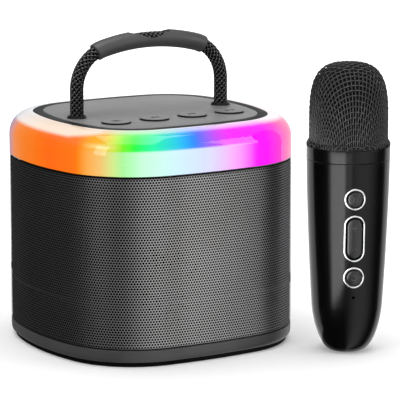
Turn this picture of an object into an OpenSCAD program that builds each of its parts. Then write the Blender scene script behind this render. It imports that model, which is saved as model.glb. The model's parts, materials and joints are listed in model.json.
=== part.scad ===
// Portable karaoke speaker with a lit shoulder, a carrying handle and a
// wireless microphone that stands beside it. Millimetres, +Z up. The front is
// towards -Y. The origin is the centre of the speaker's base, on the ground.

/* [Speaker body] */
// Width of the speaker, side to side
body_w = 130; // [124:1:140]
// Depth of the speaker, front to back
body_d = 124.2; // [119:0.1:134]
// Radius of the upright corners
corner_r = 41.8; // [39:0.1:44]
// How far the left and right faces bow out
side_bow = 2.4; // [1.5:0.1:3.5]
// How far the front and back faces bow out
front_bow = 1.1; // [0.8:0.1:2]
// Height of the rubber ring that it stands on
foot_h = 2.2; // [1.5:0.1:4]
// Height of the base ring that shows under the grille
base_ring_h = 6.2; // [5:0.1:9]
// Height of the grille, with its two shadow gaps
grille_h = 83.4; // [76:0.1:100]
// Height of the lit band round the shoulder
band_h = 20.5; // [19:0.1:24]

/* [Shells] */
// Thickness of the perforated metal sleeve
grille_t = 0.8; // [0.5:0.1:1]
// Shadow gap above and below the sleeve
shadow_gap = 0.3; // [0.2:0.1:0.5]
// Wall of the acoustic box
box_wall = 2.4; // [2:0.1:3]
// Thickness of the box's deck
deck_t = 2.6; // [2:0.1:4]
// Thickness of the base cover's floor
base_floor_t = 2.5; // [2:0.1:3]
// Radius of the base ring's lower edge
base_edge_r = 2; // [1:0.1:2.4]
// Wall of the lit band
band_wall = 2.2; // [1.6:0.1:2.6]
// Radius of the lit band's shoulder
shoulder_r = 11; // [9:0.1:11.4]
// Clearance between fixed parts that slide into each other
fit = 0.1; // [0.05:0.01:0.2]

/* [Top] */
// Distance from the body's side to the top trim
trim_inset = 11.7; // [11.6:0.1:13]
// Width of the trim that shows
trim_w = 5; // [4:0.1:6]
// Height of the panel's face over the band
panel_proud = 0.2; // [0:0.1:1]
// Thickness of the top panel
panel_t = 2.6; // [2:0.1:4]
// Diameter of a top button
button_d = 14; // [10:0.1:16]
// Spacing of the top buttons
button_pitch = 21.2; // [19:0.1:23]
// Distance of the button row in front of the centre
button_y = 22.7; // [18:0.1:26]
// Height of a top button's edge over the panel
button_rise = 0.6; // [0.3:0.1:1]
// Height of a top button's crown over its edge
button_crown = 0.3; // [0.2:0.1:0.8]
// Travel of a top button
button_travel = 0.7; // [0.4:0.1:0.9]

/* [Handle] */
// Diameter of the braided cord
cord_d = 6.3; // [5:0.1:7]
// Distance from the panel's edge to the middle of a leg
handle_inset = 7.5; // [6.6:0.1:9]
// Height at which the legs start to bend in
handle_bend_z = 125.85; // [123:0.05:135]
// Radius of the handle's two shoulders
handle_shoulder_r = 20; // [16:0.5:24]
// Radius of the handle's crown
handle_crown_r = 103; // [80:1:140]
// Height of the fold over the panel
fold_rise = 6; // [5:0.1:7]
// Diameter of the grip
grip_d = 8.7; // [8:0.1:10]
// Distance of the grip's ends from its middle
grip_half = 30; // [27:0.5:33]
// Length of the oval window on top of the grip
grip_window_l = 24; // [16:1:30]
// Width of that window
grip_window_w = 8; // [5:0.1:8.4]

/* [Driver] */
// Height of the driver's centre
driver_z = 50; // [45:1:56]
// Diameter of the driver's frame
driver_d = 61; // [56:0.5:62]
// Distance from the front of the body to the driver's seat
driver_setback = 7.1; // [6.5:0.1:9]
// Diameter of the moving cone
cone_d = 41.6; // [36:0.1:44]
// Diameter of the voice coil
coil_d = 16.6; // [14:0.1:18]

/* [Back panel] */
// Height of the sockets
port_z = 22; // [20:0.5:28]
// Width of the window plate
port_plate_w = 46; // [44:0.5:50]
// Height of the window plate
port_plate_h = 12; // [10:0.5:14]
// Bore of the 3.5 mm socket
aux_bore_d = 3.6; // [3.5:0.05:3.7]

/* [Inside] */
// Thickness of a circuit board
board_t = 1.6; // [1:0.1:2]
// Diameter of the battery cell
cell_d = 18.4; // [18:0.1:18.6]
// Length of the battery cell
cell_l = 65; // [64:0.5:70]
// Number of lights in the ring
led_count = 16; // [12:4:24]
// Diameter of a lead
lead_d = 2.4; // [1.5:0.1:3]

/* [Microphone] */
// Place of the microphone to the right of the speaker's centre
mic_x = 66.2; // [60:0.1:90]
// Place of the microphone in front of the speaker's centre
mic_y = 75.8; // [74:0.1:100]
// Turn of the microphone's keys towards the left
mic_turn = 24; // [-90:1:90]
// Radius at the top of the barrel
mic_top_r = 20.2; // [18.5:0.1:22]
// Height of the barrel with its collar
mic_barrel_h = 101; // [96:0.5:115]
// How much the barrel narrows towards the ground
mic_taper = 4.6; // [3:0.1:5.5]
// Height of the rounding at the barrel's foot
mic_round_h = 24; // [18:0.5:28]
// Width of that rounding
mic_round_w = 8.6; // [6:0.1:8.8]
// Wall of the barrel
mic_wall = 1.8; // [1.4:0.1:2.2]
// Height of the collar
mic_collar_h = 6.4; // [5:0.1:8]
// Height of the wire head over the barrel
mic_head_h = 40; // [36:0.5:45]
// How much narrower the wire head is than the barrel's top, on each side
mic_head_step = 1.2; // [0.8:0.1:2]
// Distance from the barrel's top down to the middle of the rocker key
mic_rocker_drop = 42.5; // [40:0.5:46]
// Distance from the rocker's middle to each round key
mic_key_pitch = 19.2; // [18:0.1:21]
// Outer diameter of a key's bright ring
mic_ring_d = 10.4; // [9:0.1:11]
// Length of the rocker's bright ring
mic_ring_l = 22.8; // [20:0.1:25]
// Width of the bright ring's band
mic_ring_w = 0.85; // [0.7:0.05:1.2]
// Gap between a key's cap and its ring
mic_key_gap = 0.8; // [0.3:0.1:1]
// Travel of a microphone key
mic_key_travel = 0.6; // [0.3:0.1:0.7]

/* [Hidden] */
$fn = 96;
corner_steps = 16;
side_steps = 8;
front_steps = 6;
tiny = 0.05;   // gap between a moving part and its stop

// The outline: four corner arcs joined by four long shallow arcs
half_w = body_w / 2;
half_d = body_d / 2;
corner_x = half_w - corner_r - side_bow;
corner_y = half_d - corner_r - front_bow;
front_off = (pow(corner_x, 2) + pow(corner_y, 2) - pow(half_d - corner_r, 2)) / (2 * front_bow);
front_r = front_off + half_d;
side_off = (pow(corner_x, 2) + pow(corner_y, 2) - pow(half_w - corner_r, 2)) / (2 * side_bow);
side_r = side_off + half_w;
side_turn = atan2(corner_y, corner_x + side_off);
front_turn = atan2(corner_x, corner_y + front_off);

// Heights
base_z = foot_h;
grille_z = base_z + base_ring_h;
band_z = grille_z + grille_h;
band_top = band_z + band_h;
panel_top = band_top + panel_proud;
panel_under = panel_top - panel_t;

// Base
foot_inset = 2;
foot_w = 5.2;
base_wall = 4.5;
floor_top = base_z + base_floor_t;
post_r = 4.5;
post_reach = 31;       // from a corner arc's centre to a screw post
post_x = corner_x + post_reach * cos(45);
post_y = corner_y + post_reach * sin(45);
base_screw_r = 1.5;
base_screw_head_r = 2.8;
base_screw_head_t = 1.8;
base_screw_l = 14;

// Acoustic box
box_gap = 0.3;         // between the sleeve and the box
box_inset = grille_t + box_gap;
deck_z = band_z - deck_t;
back_panel_w = port_plate_w + 14;
back_panel_top = port_z + port_plate_h / 2 + 24;

// Driver, measured forwards from the body's middle plane
seat_f = half_d - driver_setback;
frame_r = driver_d / 2;
recess_r = frame_r + 0.8;
baffle_t = 3;
basket_r = frame_r - 4.9;
baffle_hole_r = basket_r + 0.4;
flange_t = 1.5;
flange_f = seat_f + flange_t;
basket_depth = 13;
basket_t = 1.2;
basket_back_r = 17.5;
basket_back_f = seat_f - basket_depth;
driver_screw_ring = frame_r - 1.9;
driver_screw_r = 0.9;
driver_screw_head_r = 1.8;
driver_screw_l = 3.6;
magnet_r = 19;
magnet_t = 8;
pole_plate_t = 2.2;
coil_r = coil_d / 2;
coil_t = 0.6;
coil_gap = 0.3;
cone_r = cone_d / 2;
cone_t = 0.6;
cone_depth = 8.4;
coil_l = 10;
spider_f = basket_back_f + 2.2;
spider_r = basket_back_r - 0.8;
surround_t = 0.5;
surround_r = driver_screw_ring - driver_screw_head_r - 0.2;

// Lit band, frame and trim
frame_wall_in = trim_inset + trim_w + 0.8;
frame_wall_t = 1.7;
frame_foot_t = 1.2;
frame_foot_inset = 6;
shoulder_steps = 10;
inner_edge = frame_wall_in + frame_wall_t;
trim_under = panel_under - 1.4;
trim_top = band_top - 0.5;
trim_lip = 2;          // how far the trim reaches under the band's edge
led_board_z = band_z + frame_foot_t;
led_inset = 12;
led_size = 5;
led_h = 1.4;

// Buttons and their board
hole_gap = 0.25;
flange_r = button_d / 2 + 1.2;
flange_top = panel_under - tiny;
button_flange_t = 1.2;
switch_top = flange_top - button_flange_t - button_travel - 0.1;
switch_base = switch_top - 3.8;
button_board_z = switch_base - board_t;
button_edge_z = panel_top + button_rise;
switch_w = 6;
switch_body_h = 2.6;
switch_stem_r = 1.7;
panel_boss_r = 2.8;
panel_screw_x = 1.5 * button_pitch + 0.2;
panel_screw_reach = flange_r + panel_boss_r + 0.3;
panel_screw_y = [-button_y - panel_screw_reach, -button_y + panel_screw_reach];
panel_screw_l = 6.4;
button_board_w = 2 * (panel_screw_x + 3);
button_board_d = 2 * (panel_screw_reach + 2.4);
panel_screw_r = 1.1;
panel_screw_head_r = 2.1;
panel_screw_head_t = 1.4;

// Handle
cord_r = cord_d / 2;
panel_half = half_w - trim_inset - trim_w;
handle_half = panel_half - handle_inset;
fold_z = panel_top + fold_rise;
eyelet_bore_r = cord_r + 0.3;
eyelet_neck_r = eyelet_bore_r + 1.1;
eyelet_flare_r = eyelet_neck_r + 0.4;
eyelet_h = 1.3;
eyelet_depth = 4;
knot_r = eyelet_bore_r + 0.6;
stub_top = fold_z - cord_r - box_gap;
shoulder_x = handle_half - handle_shoulder_r;
crown_z = handle_bend_z - sqrt(pow(handle_crown_r - handle_shoulder_r, 2) - pow(shoulder_x, 2));
crown_turn = asin(shoulder_x / (handle_crown_r - handle_shoulder_r));
grip_r = grip_d / 2;
handle_steps = 8;
grip_turn = acos((grip_half - shoulder_x) / handle_shoulder_r);

// Sockets at the back
port_spread = 14;
port_plate_t = 2.6;
port_inner = half_d - port_plate_t;
port_board_d = 15;
port_board_back = port_inner - 2.4;
port_floor_z = port_z - 3.4;
usb_w = 8.9;
usb_h = 3.2;
usb_wall = 0.5;
usb_l = 7.4;
jack_w = 7;
jack_l = 12;
jack_nose_r = 3;
card_w = 12.6;
card_h = 2.4;
card_slit_w = 11.2;
card_slit_h = 1.1;
card_l = 13;

// Battery
cell_r = cell_d / 2;
cell_y = 22;
holder_wall = 1.5;
cell_z = floor_top + holder_wall + cell_r + fit;

// Leads
lead_aside = [0.96, 0.06, 0.27];

// Main board
main_z = band_z + 4.2;
main_w = 68;
main_front = -24;
main_back = 34;
main_post_x = 30;
main_post_y = [-20, 30];

// Microphone
mic_ring_rise = 0.2;   // how far a bright ring stands over the barrel's side
mic_collar_z = mic_barrel_h - mic_collar_h;
mic_floor_t = 2.2;
mic_foot_r = 5.6;
mic_rim_h = 2.2;
mic_head_t = 0.8;
mic_head_r = mic_top_r - mic_head_step;
mic_head_top = mic_barrel_h + mic_head_h;
mic_rocker_z = mic_barrel_h - mic_rocker_drop;
mic_key_z = [mic_rocker_z + mic_key_pitch, mic_rocker_z - mic_key_pitch];
mic_ring_r = mic_ring_d / 2;
mic_bore_r = mic_ring_r - mic_ring_w;
mic_cap_r = mic_bore_r - mic_key_gap;
mic_rocker_half = (mic_ring_l - mic_ring_d) / 2;
mic_pad_f = mic_top_r - 4.2;
mic_board_f = mic_pad_f - 5.4;
mic_board_w = 20;
mic_board_z = mic_rocker_z - 30.5;
mic_board_l = mic_key_pitch + 38.5;
mic_switch_w = 4;
mic_switch_stem_r = 1.1;
key_flange_t = 1;
key_flange_f = mic_pad_f - tiny - key_flange_t;
mic_switch_f = key_flange_f - mic_key_travel - 0.1;
mic_pinhole_z = mic_rocker_z - 29;
mic_cell_r = 7;
mic_cell_l = 43;
mic_cell_z = mic_board_z + 2;
mic_cup_r = 9;
mic_cup_z = mic_barrel_h + 9;
mic_cup_floor_t = 2;
mic_capsule_r = 7;
mic_capsule_h = 6;
mic_collar_bore_r = mic_top_r - 4;
mic_steps = 22;
mic_rise = 0.35;       // how far a key stands over its ring

// ---------------------------------------------------------------- helpers

// Points of an arc, without its last one
function arc(x, y, r, from, to, steps) =
    [for (i = [0:steps - 1]) let (a = from + (to - from) * i / steps)
        [x + r * cos(a), y + r * sin(a)]];

// The body's outline, drawn in by an inset
function outline(inset) = concat(
    arc(-side_off, 0, side_r - inset, -side_turn, side_turn, side_steps),
    arc(corner_x, corner_y, corner_r - inset, side_turn, 90 - front_turn, corner_steps),
    arc(0, -front_off, front_r - inset, 90 - front_turn, 90 + front_turn, front_steps),
    arc(-corner_x, corner_y, corner_r - inset, 90 + front_turn, 180 - side_turn, corner_steps),
    arc(side_off, 0, side_r - inset, 180 - side_turn, 180 + side_turn, side_steps),
    arc(-corner_x, -corner_y, corner_r - inset, 180 + side_turn, 270 - front_turn, corner_steps),
    arc(0, front_off, front_r - inset, 270 - front_turn, 270 + front_turn, front_steps),
    arc(corner_x, -corner_y, corner_r - inset, 270 + front_turn, 360 - side_turn, corner_steps));

// The whole outline, drawn in by an inset, as a slab
module slab(inset, z0, z1) {
    translate([0, 0, z0]) linear_extrude(z1 - z0) polygon(outline(inset));
}

// A band of the outline between two insets and two heights
module outline_band(outer, inner, z0, z1) {
    translate([0, 0, z0]) linear_extrude(z1 - z0) difference() {
        polygon(outline(outer));
        polygon(outline(inner));
    }
}

// Joins rings of points, each with the same count, into one closed surface
module skin(rings, looped) {
    n = len(rings[0]);
    m = len(rings);
    sides = [for (j = [0:m - (looped ? 1 : 2)], i = [0:n - 1])
        let (a = j * n, b = ((j + 1) % m) * n, k = (i + 1) % n)
        each [[a + i, b + i, b + k], [a + i, b + k, a + k]]];
    caps = looped ? [] : [
        [for (i = [0:n - 1]) i],
        [for (i = [n - 1:-1:0]) (m - 1) * n + i]
    ];
    polyhedron([for (r = rings) each r], concat(sides, caps));
}

// Carries a closed profile of insets and heights round the outline
module round_outline(profile) {
    skin([for (p = profile) [for (q = outline(p[0])) [q[0], q[1], p[1]]]], true);
}

function unit(v) = v / norm(v);

// The direction of a route at one of its points
function way(points, i) =
    unit(points[min(i + 1, len(points) - 1)] - points[max(i - 1, 0)]);

// The ring of points of a round bar at one point of its route. No stretch of
// the route runs along aside.
function bar_ring(points, i, r, sides, aside) =
    let (t = way(points, i), u = unit(cross(t, aside)), v = cross(u, t))
    [for (k = [0:sides - 1])
        points[i] + r * (u * cos(360 * k / sides) + v * sin(360 * k / sides))];

// A round bar along a route
module tube(points, r, sides, aside) {
    skin([for (i = [0:len(points) - 1]) bar_ring(points, i, r, sides, aside)], false);
}

// Four places mirrored about both middle planes
module four(x, y) {
    for (sx = [-1, 1], sy = [-1, 1]) translate([sx * x, sy * y, 0]) children();
}

// Turns a piece drawn along +Z so that it points to the front at the driver
module to_front() {
    translate([0, 0, driver_z]) rotate([90, 0, 0]) children();
}

// A ring about Z
module ring(outer, inner, z0, z1) {
    translate([0, 0, z0]) difference() {
        cylinder(r = outer, h = z1 - z0);
        translate([0, 0, -1]) cylinder(r = inner, h = z1 - z0 + 2);
    }
}

// A rounded bar between two discs, along X
module pill(half_len, r, h) {
    for (s = [-1, 1]) translate([s * half_len, 0, 0]) cylinder(r = r, h = h);
    translate([-half_len, -r, 0]) cube([2 * half_len, 2 * r, h]);
}

// A panhead screw along -Z with the seat of its head at the origin
module screw(r, head_r, head_t, l) {
    difference() {
        union() {
            cylinder(r = head_r, h = head_t);
            translate([0, 0, -l]) cylinder(r = r, h = l + head_t / 2);
        }
        for (a = [0, 90]) rotate(a)
            translate([-head_r * 0.6, -head_r * 0.12, head_t * 0.45])
                cube([head_r * 1.2, head_r * 0.24, head_t]);
    }
}

// ---------------------------------------------------------------- base

module foot_ring() {
    color("#151515")
        outline_band(foot_inset, foot_inset + foot_w, 0, base_z);
}

module base_cover() {
    color("#4c4c4e") difference() {
        union() {
            round_outline(concat(
                [for (a = [0:15:90])
                    [base_edge_r * (1 - sin(a)), base_z + base_edge_r * (1 - cos(a))]],
                [[0, grille_z], [base_wall, grille_z], [base_wall, base_z]]));
            slab(base_wall - 1, base_z, floor_top);
            four(post_x, post_y)
                translate([0, 0, base_z]) cylinder(r = post_r, h = base_ring_h);
        }
        four(post_x, post_y) {
            translate([0, 0, base_z - 1])
                cylinder(r = base_screw_head_r + 0.3, h = 1 + base_screw_head_t + 0.4);
            cylinder(r = base_screw_r + fit, h = grille_z + 1);
        }
    }
}

module base_screws() {
    color("#8d8f92")
        four(post_x, post_y)
            translate([0, 0, base_z + base_screw_head_t + 0.4]) rotate([180, 0, 0])
                screw(base_screw_r, base_screw_head_r, base_screw_head_t, base_screw_l);
}

// ---------------------------------------------------------------- sleeve and box

// The upright window in the back for the sockets
module port_window(grow, depth) {
    translate([0, half_d + 1, port_z]) rotate([90, 0, 0])
        pill(port_plate_w / 2 - port_plate_h / 2, port_plate_h / 2 + grow, depth + 1);
}

module grille_sleeve() {
    color("#3a3b3d") difference() {
        outline_band(0, grille_t, grille_z + shadow_gap, band_z - shadow_gap);
        port_window(fit, 8);
    }
}

module enclosure() {
    box_in = box_inset + box_wall;
    color("#1d1d1f") difference() {
        union() {
            outline_band(box_inset, box_in, grille_z, band_z);
            slab(box_inset, deck_z, band_z);
            intersection() {
                to_front()
                    translate([0, 0, seat_f - baffle_t])
                        cylinder(r = recess_r + 2.4, h = half_d - seat_f + baffle_t);
                slab(box_inset + 0.5, grille_z, deck_z + 1);
            }
            four(post_x, post_y)
                translate([0, 0, grille_z]) cylinder(r = post_r, h = deck_z - grille_z + 1);
            for (x = [-1, 1], y = main_post_y)
                translate([x * main_post_x, y, deck_z])
                    cylinder(r = 2.6, h = main_z - deck_z);
        }
        to_front() {
            translate([0, 0, seat_f]) cylinder(r = recess_r, h = driver_setback + 1);
            cylinder(r = baffle_hole_r, h = half_d);
            for (a = [45:90:315]) rotate(a)
                translate([driver_screw_ring, 0, seat_f - baffle_t - 1])
                    cylinder(r = driver_screw_r + tiny, h = baffle_t + 2);
        }
        back_panel_space();
        four(post_x, post_y)
            cylinder(r = base_screw_r + tiny, h = grille_z + base_screw_l);
        // Hole in the deck for the leads
        translate([0, main_back + 3.5, deck_z - 1]) cylinder(r = 3.4, h = deck_t + 2);
    }
}

// The space in the box's back wall for the panel that carries the sockets
module back_panel_space() {
    translate([-back_panel_w / 2, half_d / 2, grille_z - 1])
        cube([back_panel_w, half_d, back_panel_top - grille_z + 1]);
}

module enclosure_back() {
    color("#1d1d1f") difference() {
        intersection() {
            outline_band(box_inset, box_inset + box_wall, grille_z, deck_z);
            back_panel_space();
        }
        port_window(fit, 8);
    }
}

// ---------------------------------------------------------------- driver

module driver_basket() {
    color("#26272a") to_front() difference() {
        union() {
            ring(frame_r, cone_r + 2.2, seat_f, flange_f);
            difference() {
                translate([0, 0, basket_back_f])
                    cylinder(r1 = basket_back_r, r2 = basket_r, h = basket_depth + tiny);
                translate([0, 0, basket_back_f + basket_t])
                    cylinder(
                        r1 = basket_back_r - basket_t, r2 = basket_r - basket_t,
                        h = basket_depth - basket_t + 1);
            }
            ring(basket_back_r, spider_r - 2.2, spider_f - 1, spider_f - surround_t);
        }
        translate([0, 0, basket_back_f - 1]) cylinder(r = coil_r + 1.2, h = basket_depth);
        for (a = [0:60:300]) rotate(a)
            translate([basket_back_r - 4, -4, spider_f + 1.4])
                cube([16, 8, seat_f - spider_f - 2.4]);
        for (a = [45:90:315]) rotate(a)
            translate([driver_screw_ring, 0, seat_f - 1])
                cylinder(r = driver_screw_r + fit, h = flange_t + 2);
    }
}

module driver_magnet() {
    back = basket_back_f - pole_plate_t - magnet_t;
    color("#5d5f63") to_front() {
        ring(basket_back_r - 0.5, coil_r + coil_gap, basket_back_f - pole_plate_t, basket_back_f);
        ring(magnet_r, coil_r + 2.6, back, basket_back_f - pole_plate_t);
        translate([0, 0, back - pole_plate_t]) cylinder(r = basket_back_r, h = pole_plate_t);
        translate([0, 0, back - 0.5])
            cylinder(
                r = coil_r - coil_t - coil_gap,
                h = basket_back_f - back + 0.5);
    }
}

module driver_spider() {
    inner = coil_r + 0.1;
    steps = 4;
    pitch = (spider_r - inner) / steps;
    color("#b0813f") to_front()
        for (i = [0:steps - 1])
            ring(
                inner + pitch * (i + 1), inner + pitch * i,
                spider_f - surround_t + 0.3 * (i % 2), spider_f + 0.3 * (i % 2));
}

module driver_surround() {
    mid = (cone_r + basket_r) / 2;
    roll = (basket_r - cone_r) / 2;
    color("#101012") to_front() translate([0, 0, flange_f]) rotate_extrude() {
        translate([mid, 0]) intersection() {
            difference() {
                circle(r = roll);
                circle(r = roll - surround_t);
            }
            translate([-roll, 0]) square([2 * roll, roll]);
        }
        translate([basket_r - surround_t, 0])
            square([surround_r - basket_r + surround_t, surround_t]);
        translate([cone_r - 1.4, 0]) square([1.4 + surround_t, surround_t]);
    }
}

module driver_screws() {
    color("#9a9ca0") to_front()
        for (a = [45:90:315]) rotate(a) translate([driver_screw_ring, 0, flange_f])
            screw(driver_screw_r, driver_screw_head_r, 1.2, driver_screw_l);
}

module driver_cone() {
    color("#2a2a2c") to_front() translate([0, 0, flange_f - cone_depth]) difference() {
        cylinder(r1 = coil_r + cone_t, r2 = cone_r + cone_t, h = cone_depth);
        translate([0, 0, -0.01])
            cylinder(r1 = coil_r, r2 = cone_r, h = cone_depth + 0.02);
    }
}

module dust_cap() {
    base_r = coil_r + 1;
    rise = 3;
    dome_r = (base_r * base_r + rise * rise) / (2 * rise);
    base_f = flange_f - cone_depth + cone_depth * (base_r - coil_r) / (cone_r - coil_r) + tiny;
    color("#38383b") to_front() translate([0, 0, base_f]) intersection() {
        translate([0, 0, rise - dome_r]) difference() {
            sphere(r = dome_r);
            sphere(r = dome_r - cone_t);
        }
        cylinder(r = base_r, h = rise + 1);
    }
}

module voice_coil() {
    coil_front = flange_f - cone_depth;
    color("#b06a2c") to_front()
        ring(coil_r, coil_r - coil_t, coil_front - coil_l, coil_front);
}

// ---------------------------------------------------------------- lit shoulder

// The shoulder's profile, drawn in by an inset, from its foot to its opening
function shoulder(inset) = concat(
    [[inset, band_z]],
    [for (i = [0:shoulder_steps])
        let (a = 90 * i / shoulder_steps)
        [shoulder_r - (shoulder_r - inset) * cos(a),
            band_top - shoulder_r + (shoulder_r - inset) * sin(a)]],
    [[trim_inset - fit, band_top - inset]]);

module light_band() {
    inside = shoulder(band_wall);
    color("#f4f1ea", 0.8)
        round_outline(concat(shoulder(0), [for (i = [len(inside) - 1:-1:0]) inside[i]]));
}

module light_frame() {
    color("#f2f2f2") {
        outline_band(frame_foot_inset, inner_edge, band_z, led_board_z);
        outline_band(frame_wall_in, inner_edge, band_z, trim_under);
    }
}

module led_board() {
    color("#e9ece6")
        outline_band(frame_foot_inset + 1, frame_wall_in - fit, led_board_z, led_board_z + board_t);
}

// Places along the outline: a share of a quarter turn gives each light its spot
module leds() {
    lit = corner_r - led_inset;
    per_side = led_count / 4;
    color("#fffbe8")
        for (side = [-1, 1], end = [-1, 1], i = [0:per_side - 1]) {
            turn = 90 * (i + 0.5) / per_side;
            translate([
                side * (corner_x + lit * cos(turn)),
                end * (corner_y + lit * sin(turn)),
                led_board_z + board_t + led_h / 2
            ])
                cube([led_size, led_size, led_h], center = true);
        }
}

module top_trim() {
    color("#12161a") {
        outline_band(trim_inset - trim_lip, inner_edge, trim_under, panel_under);
        outline_band(trim_inset, trim_inset + trim_w, trim_under, trim_top);
    }
}

module top_panel() {
    color("#7f8183") difference() {
        union() {
            slab(trim_inset + trim_w + fit, panel_under, panel_top);
            for (x = [-1, 1], y = panel_screw_y)
                translate([x * panel_screw_x, y, button_board_z + board_t])
                    cylinder(r = panel_boss_r, h = panel_under - button_board_z - board_t + 1);
        }
        each_button(false) translate([0, 0, panel_under - 1])
            cylinder(r = button_d / 2 + hole_gap, h = panel_t + 2);
        for (s = [-1, 1]) translate([s * handle_half, 0, panel_under - 1])
            cylinder(r = eyelet_neck_r + fit, h = panel_t + 2);
        for (x = [-1, 1], y = panel_screw_y)
            translate([x * panel_screw_x, y, button_board_z])
                cylinder(r = panel_screw_r + tiny, h = panel_screw_l + 0.6);
    }
}

module panel_screws() {
    color("#8d8f92")
        for (x = [-1, 1], y = panel_screw_y)
            translate([x * panel_screw_x, y, button_board_z]) rotate([180, 0, 0])
                screw(panel_screw_r, panel_screw_head_r, panel_screw_head_t, panel_screw_l);
}

// ---------------------------------------------------------------- top buttons

// Places of the four buttons, or of one of them by its number
module each_button(only) {
    for (i = [0:3]) if (only == false || only == i)
        translate([(i - 1.5) * button_pitch, -button_y, 0]) children();
}

module button(number) {
    r = button_d / 2;
    crown_r = (r * r + button_crown * button_crown) / (2 * button_crown);
    color("#6f7173") each_button(number) {
        translate([0, 0, flange_top - button_flange_t])
            cylinder(r = flange_r, h = button_flange_t);
        intersection() {
            translate([0, 0, flange_top - button_flange_t])
                cylinder(r = r, h = button_edge_z + button_crown - flange_top + button_flange_t);
            translate([0, 0, button_edge_z + button_crown - crown_r]) sphere(r = crown_r);
        }
    }
}

module button_board() {
    color("#1f6b3b") difference() {
        translate([-button_board_w / 2, -button_y - button_board_d / 2, button_board_z])
            cube([button_board_w, button_board_d, board_t]);
        for (x = [-1, 1], y = panel_screw_y)
            translate([x * panel_screw_x, y, button_board_z - 1])
                cylinder(r = panel_screw_r + fit, h = board_t + 2);
    }
}

module tact_switches() {
    color("#2b2b2b") each_button(false) {
        translate([-switch_w / 2, -switch_w / 2, switch_base])
            cube([switch_w, switch_w, switch_body_h]);
        translate([0, 0, switch_base])
            cylinder(r = switch_stem_r, h = switch_top - switch_base);
    }
}

// ---------------------------------------------------------------- handle

module eyelet(side) {
    color("#17181a") translate([side * handle_half, 0, panel_top]) difference() {
        union() {
            translate([0, 0, -eyelet_depth]) cylinder(r = eyelet_neck_r, h = eyelet_depth);
            cylinder(r1 = eyelet_flare_r, r2 = eyelet_neck_r, h = eyelet_h);
        }
        translate([0, 0, -eyelet_depth - 1])
            cylinder(r = eyelet_bore_r, h = eyelet_depth + eyelet_h + 2);
    }
}

// The cord below the fold, with the knot that holds it under the eyelet
module cord_end(side) {
    knot_z = panel_top - eyelet_depth - sqrt(pow(knot_r, 2) - pow(eyelet_bore_r, 2)) - 0.1;
    color("#202124") translate([side * handle_half, 0, 0]) {
        translate([0, 0, knot_z]) cylinder(r = cord_r, h = stub_top - knot_z);
        translate([0, 0, knot_z]) sphere(r = knot_r);
    }
}

// The handle's middle line from a turn on one shoulder to the same on the other
function handle_line(shoulder_from) = let (shoulder_to = 90 - crown_turn) concat(
    [for (i = [0:handle_steps]) let (a = shoulder_from + (shoulder_to - shoulder_from) * i / handle_steps)
        [shoulder_x + handle_shoulder_r * cos(a), 0, handle_bend_z + handle_shoulder_r * sin(a)]],
    [for (i = [1:handle_steps - 1]) let (a = shoulder_to + 2 * crown_turn * i / handle_steps)
        [handle_crown_r * cos(a), 0, crown_z + handle_crown_r * sin(a)]],
    [for (i = [handle_steps:-1:0]) let (a = shoulder_from + (shoulder_to - shoulder_from) * i / handle_steps)
        [-shoulder_x - handle_shoulder_r * cos(a), 0, handle_bend_z + handle_shoulder_r * sin(a)]]);

// The cord's rounded end at the fold, as pairs of a drop below it and a radius
cord_tip = [for (a = [80:-20:0]) [cord_r * sin(a), cord_r * cos(a)]];

module handle_cord() {
    line = handle_line(0);
    right = [for (t = cord_tip) [handle_half, 0, fold_z - t[0]]];
    left = [for (i = [len(cord_tip) - 1:-1:0]) [-handle_half, 0, fold_z - cord_tip[i][0]]];
    route = concat(right, line, left);
    tips = len(cord_tip);
    last = len(route) - 1;
    color("#202124")
        skin([for (i = [0:last])
            let (end = min(i, last - i), r = end < tips ? cord_tip[end][1] : cord_r)
            bar_ring(route, i, r, 16, [0, 1, 0])], false);
}

module handle_grip() {
    line = handle_line(grip_turn);
    last = len(line) - 1;
    color("#4a4b4d") difference() {
        skin(concat(
            [for (i = [0:last]) bar_ring(line, i, grip_r, 24, [0, 1, 0])],
            [for (i = [last:-1:0]) bar_ring(line, i, cord_r + tiny, 24, [0, 1, 0])]
        ), true);
        // The oval window, which shows the cord
        translate([0, 0, crown_z + handle_crown_r]) linear_extrude(grip_r + 1)
            polygon([for (a = [0:15:345])
                [grip_window_l / 2 * cos(a), grip_window_w / 2 * sin(a)]]);
    }
}

// ---------------------------------------------------------------- back sockets

module port_plate() {
    color("#1b1c1e") difference() {
        intersection() {
            outline_band(0, port_plate_t, port_z - port_plate_h, port_z + port_plate_h);
            port_window(0, 8);
        }
        translate([-port_spread, 0, port_z]) usb_shape(usb_w / 2 + fit, usb_h / 2 + fit);
        translate([0, half_d + 1, port_z]) rotate([90, 0, 0])
            cylinder(r = jack_nose_r + fit, h = 10);
        translate([port_spread - card_w / 2 - fit, half_d - 8, port_z - card_h / 2 - fit])
            cube([card_w + 2 * fit, 10, card_h + 2 * fit]);
    }
}

// A flat oval bar along Y through the back, of the charging socket's shape
module usb_shape(half_width, half_height) {
    translate([0, half_d + 1, 0]) rotate([90, 0, 0])
        pill(half_width - half_height, half_height, 10);
}

module usb_c_port() {
    back = half_d - 0.6;
    color("#b9bbbd") translate([-port_spread, back, port_z]) rotate([90, 0, 0]) {
        difference() {
            pill(usb_w / 2 - usb_h / 2, usb_h / 2, usb_l);
            translate([0, 0, -1])
                pill(usb_w / 2 - usb_h / 2, usb_h / 2 - usb_wall, usb_l);
        }
        translate([-3, -0.35, 0.8]) cube([6, 0.7, usb_l - 1]);
    }
}

module aux_jack() {
    back = half_d - 0.3;
    color("#232427") translate([0, back, port_z]) rotate([90, 0, 0]) difference() {
        union() {
            cylinder(r = jack_nose_r, h = port_plate_t + 0.4);
            translate([-jack_w / 2, -3.4, port_plate_t + 0.4]) cube([jack_w, 6.8, jack_l]);
        }
        translate([0, 0, -1]) cylinder(d = aux_bore_d, h = jack_l + 1);
    }
}

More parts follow.
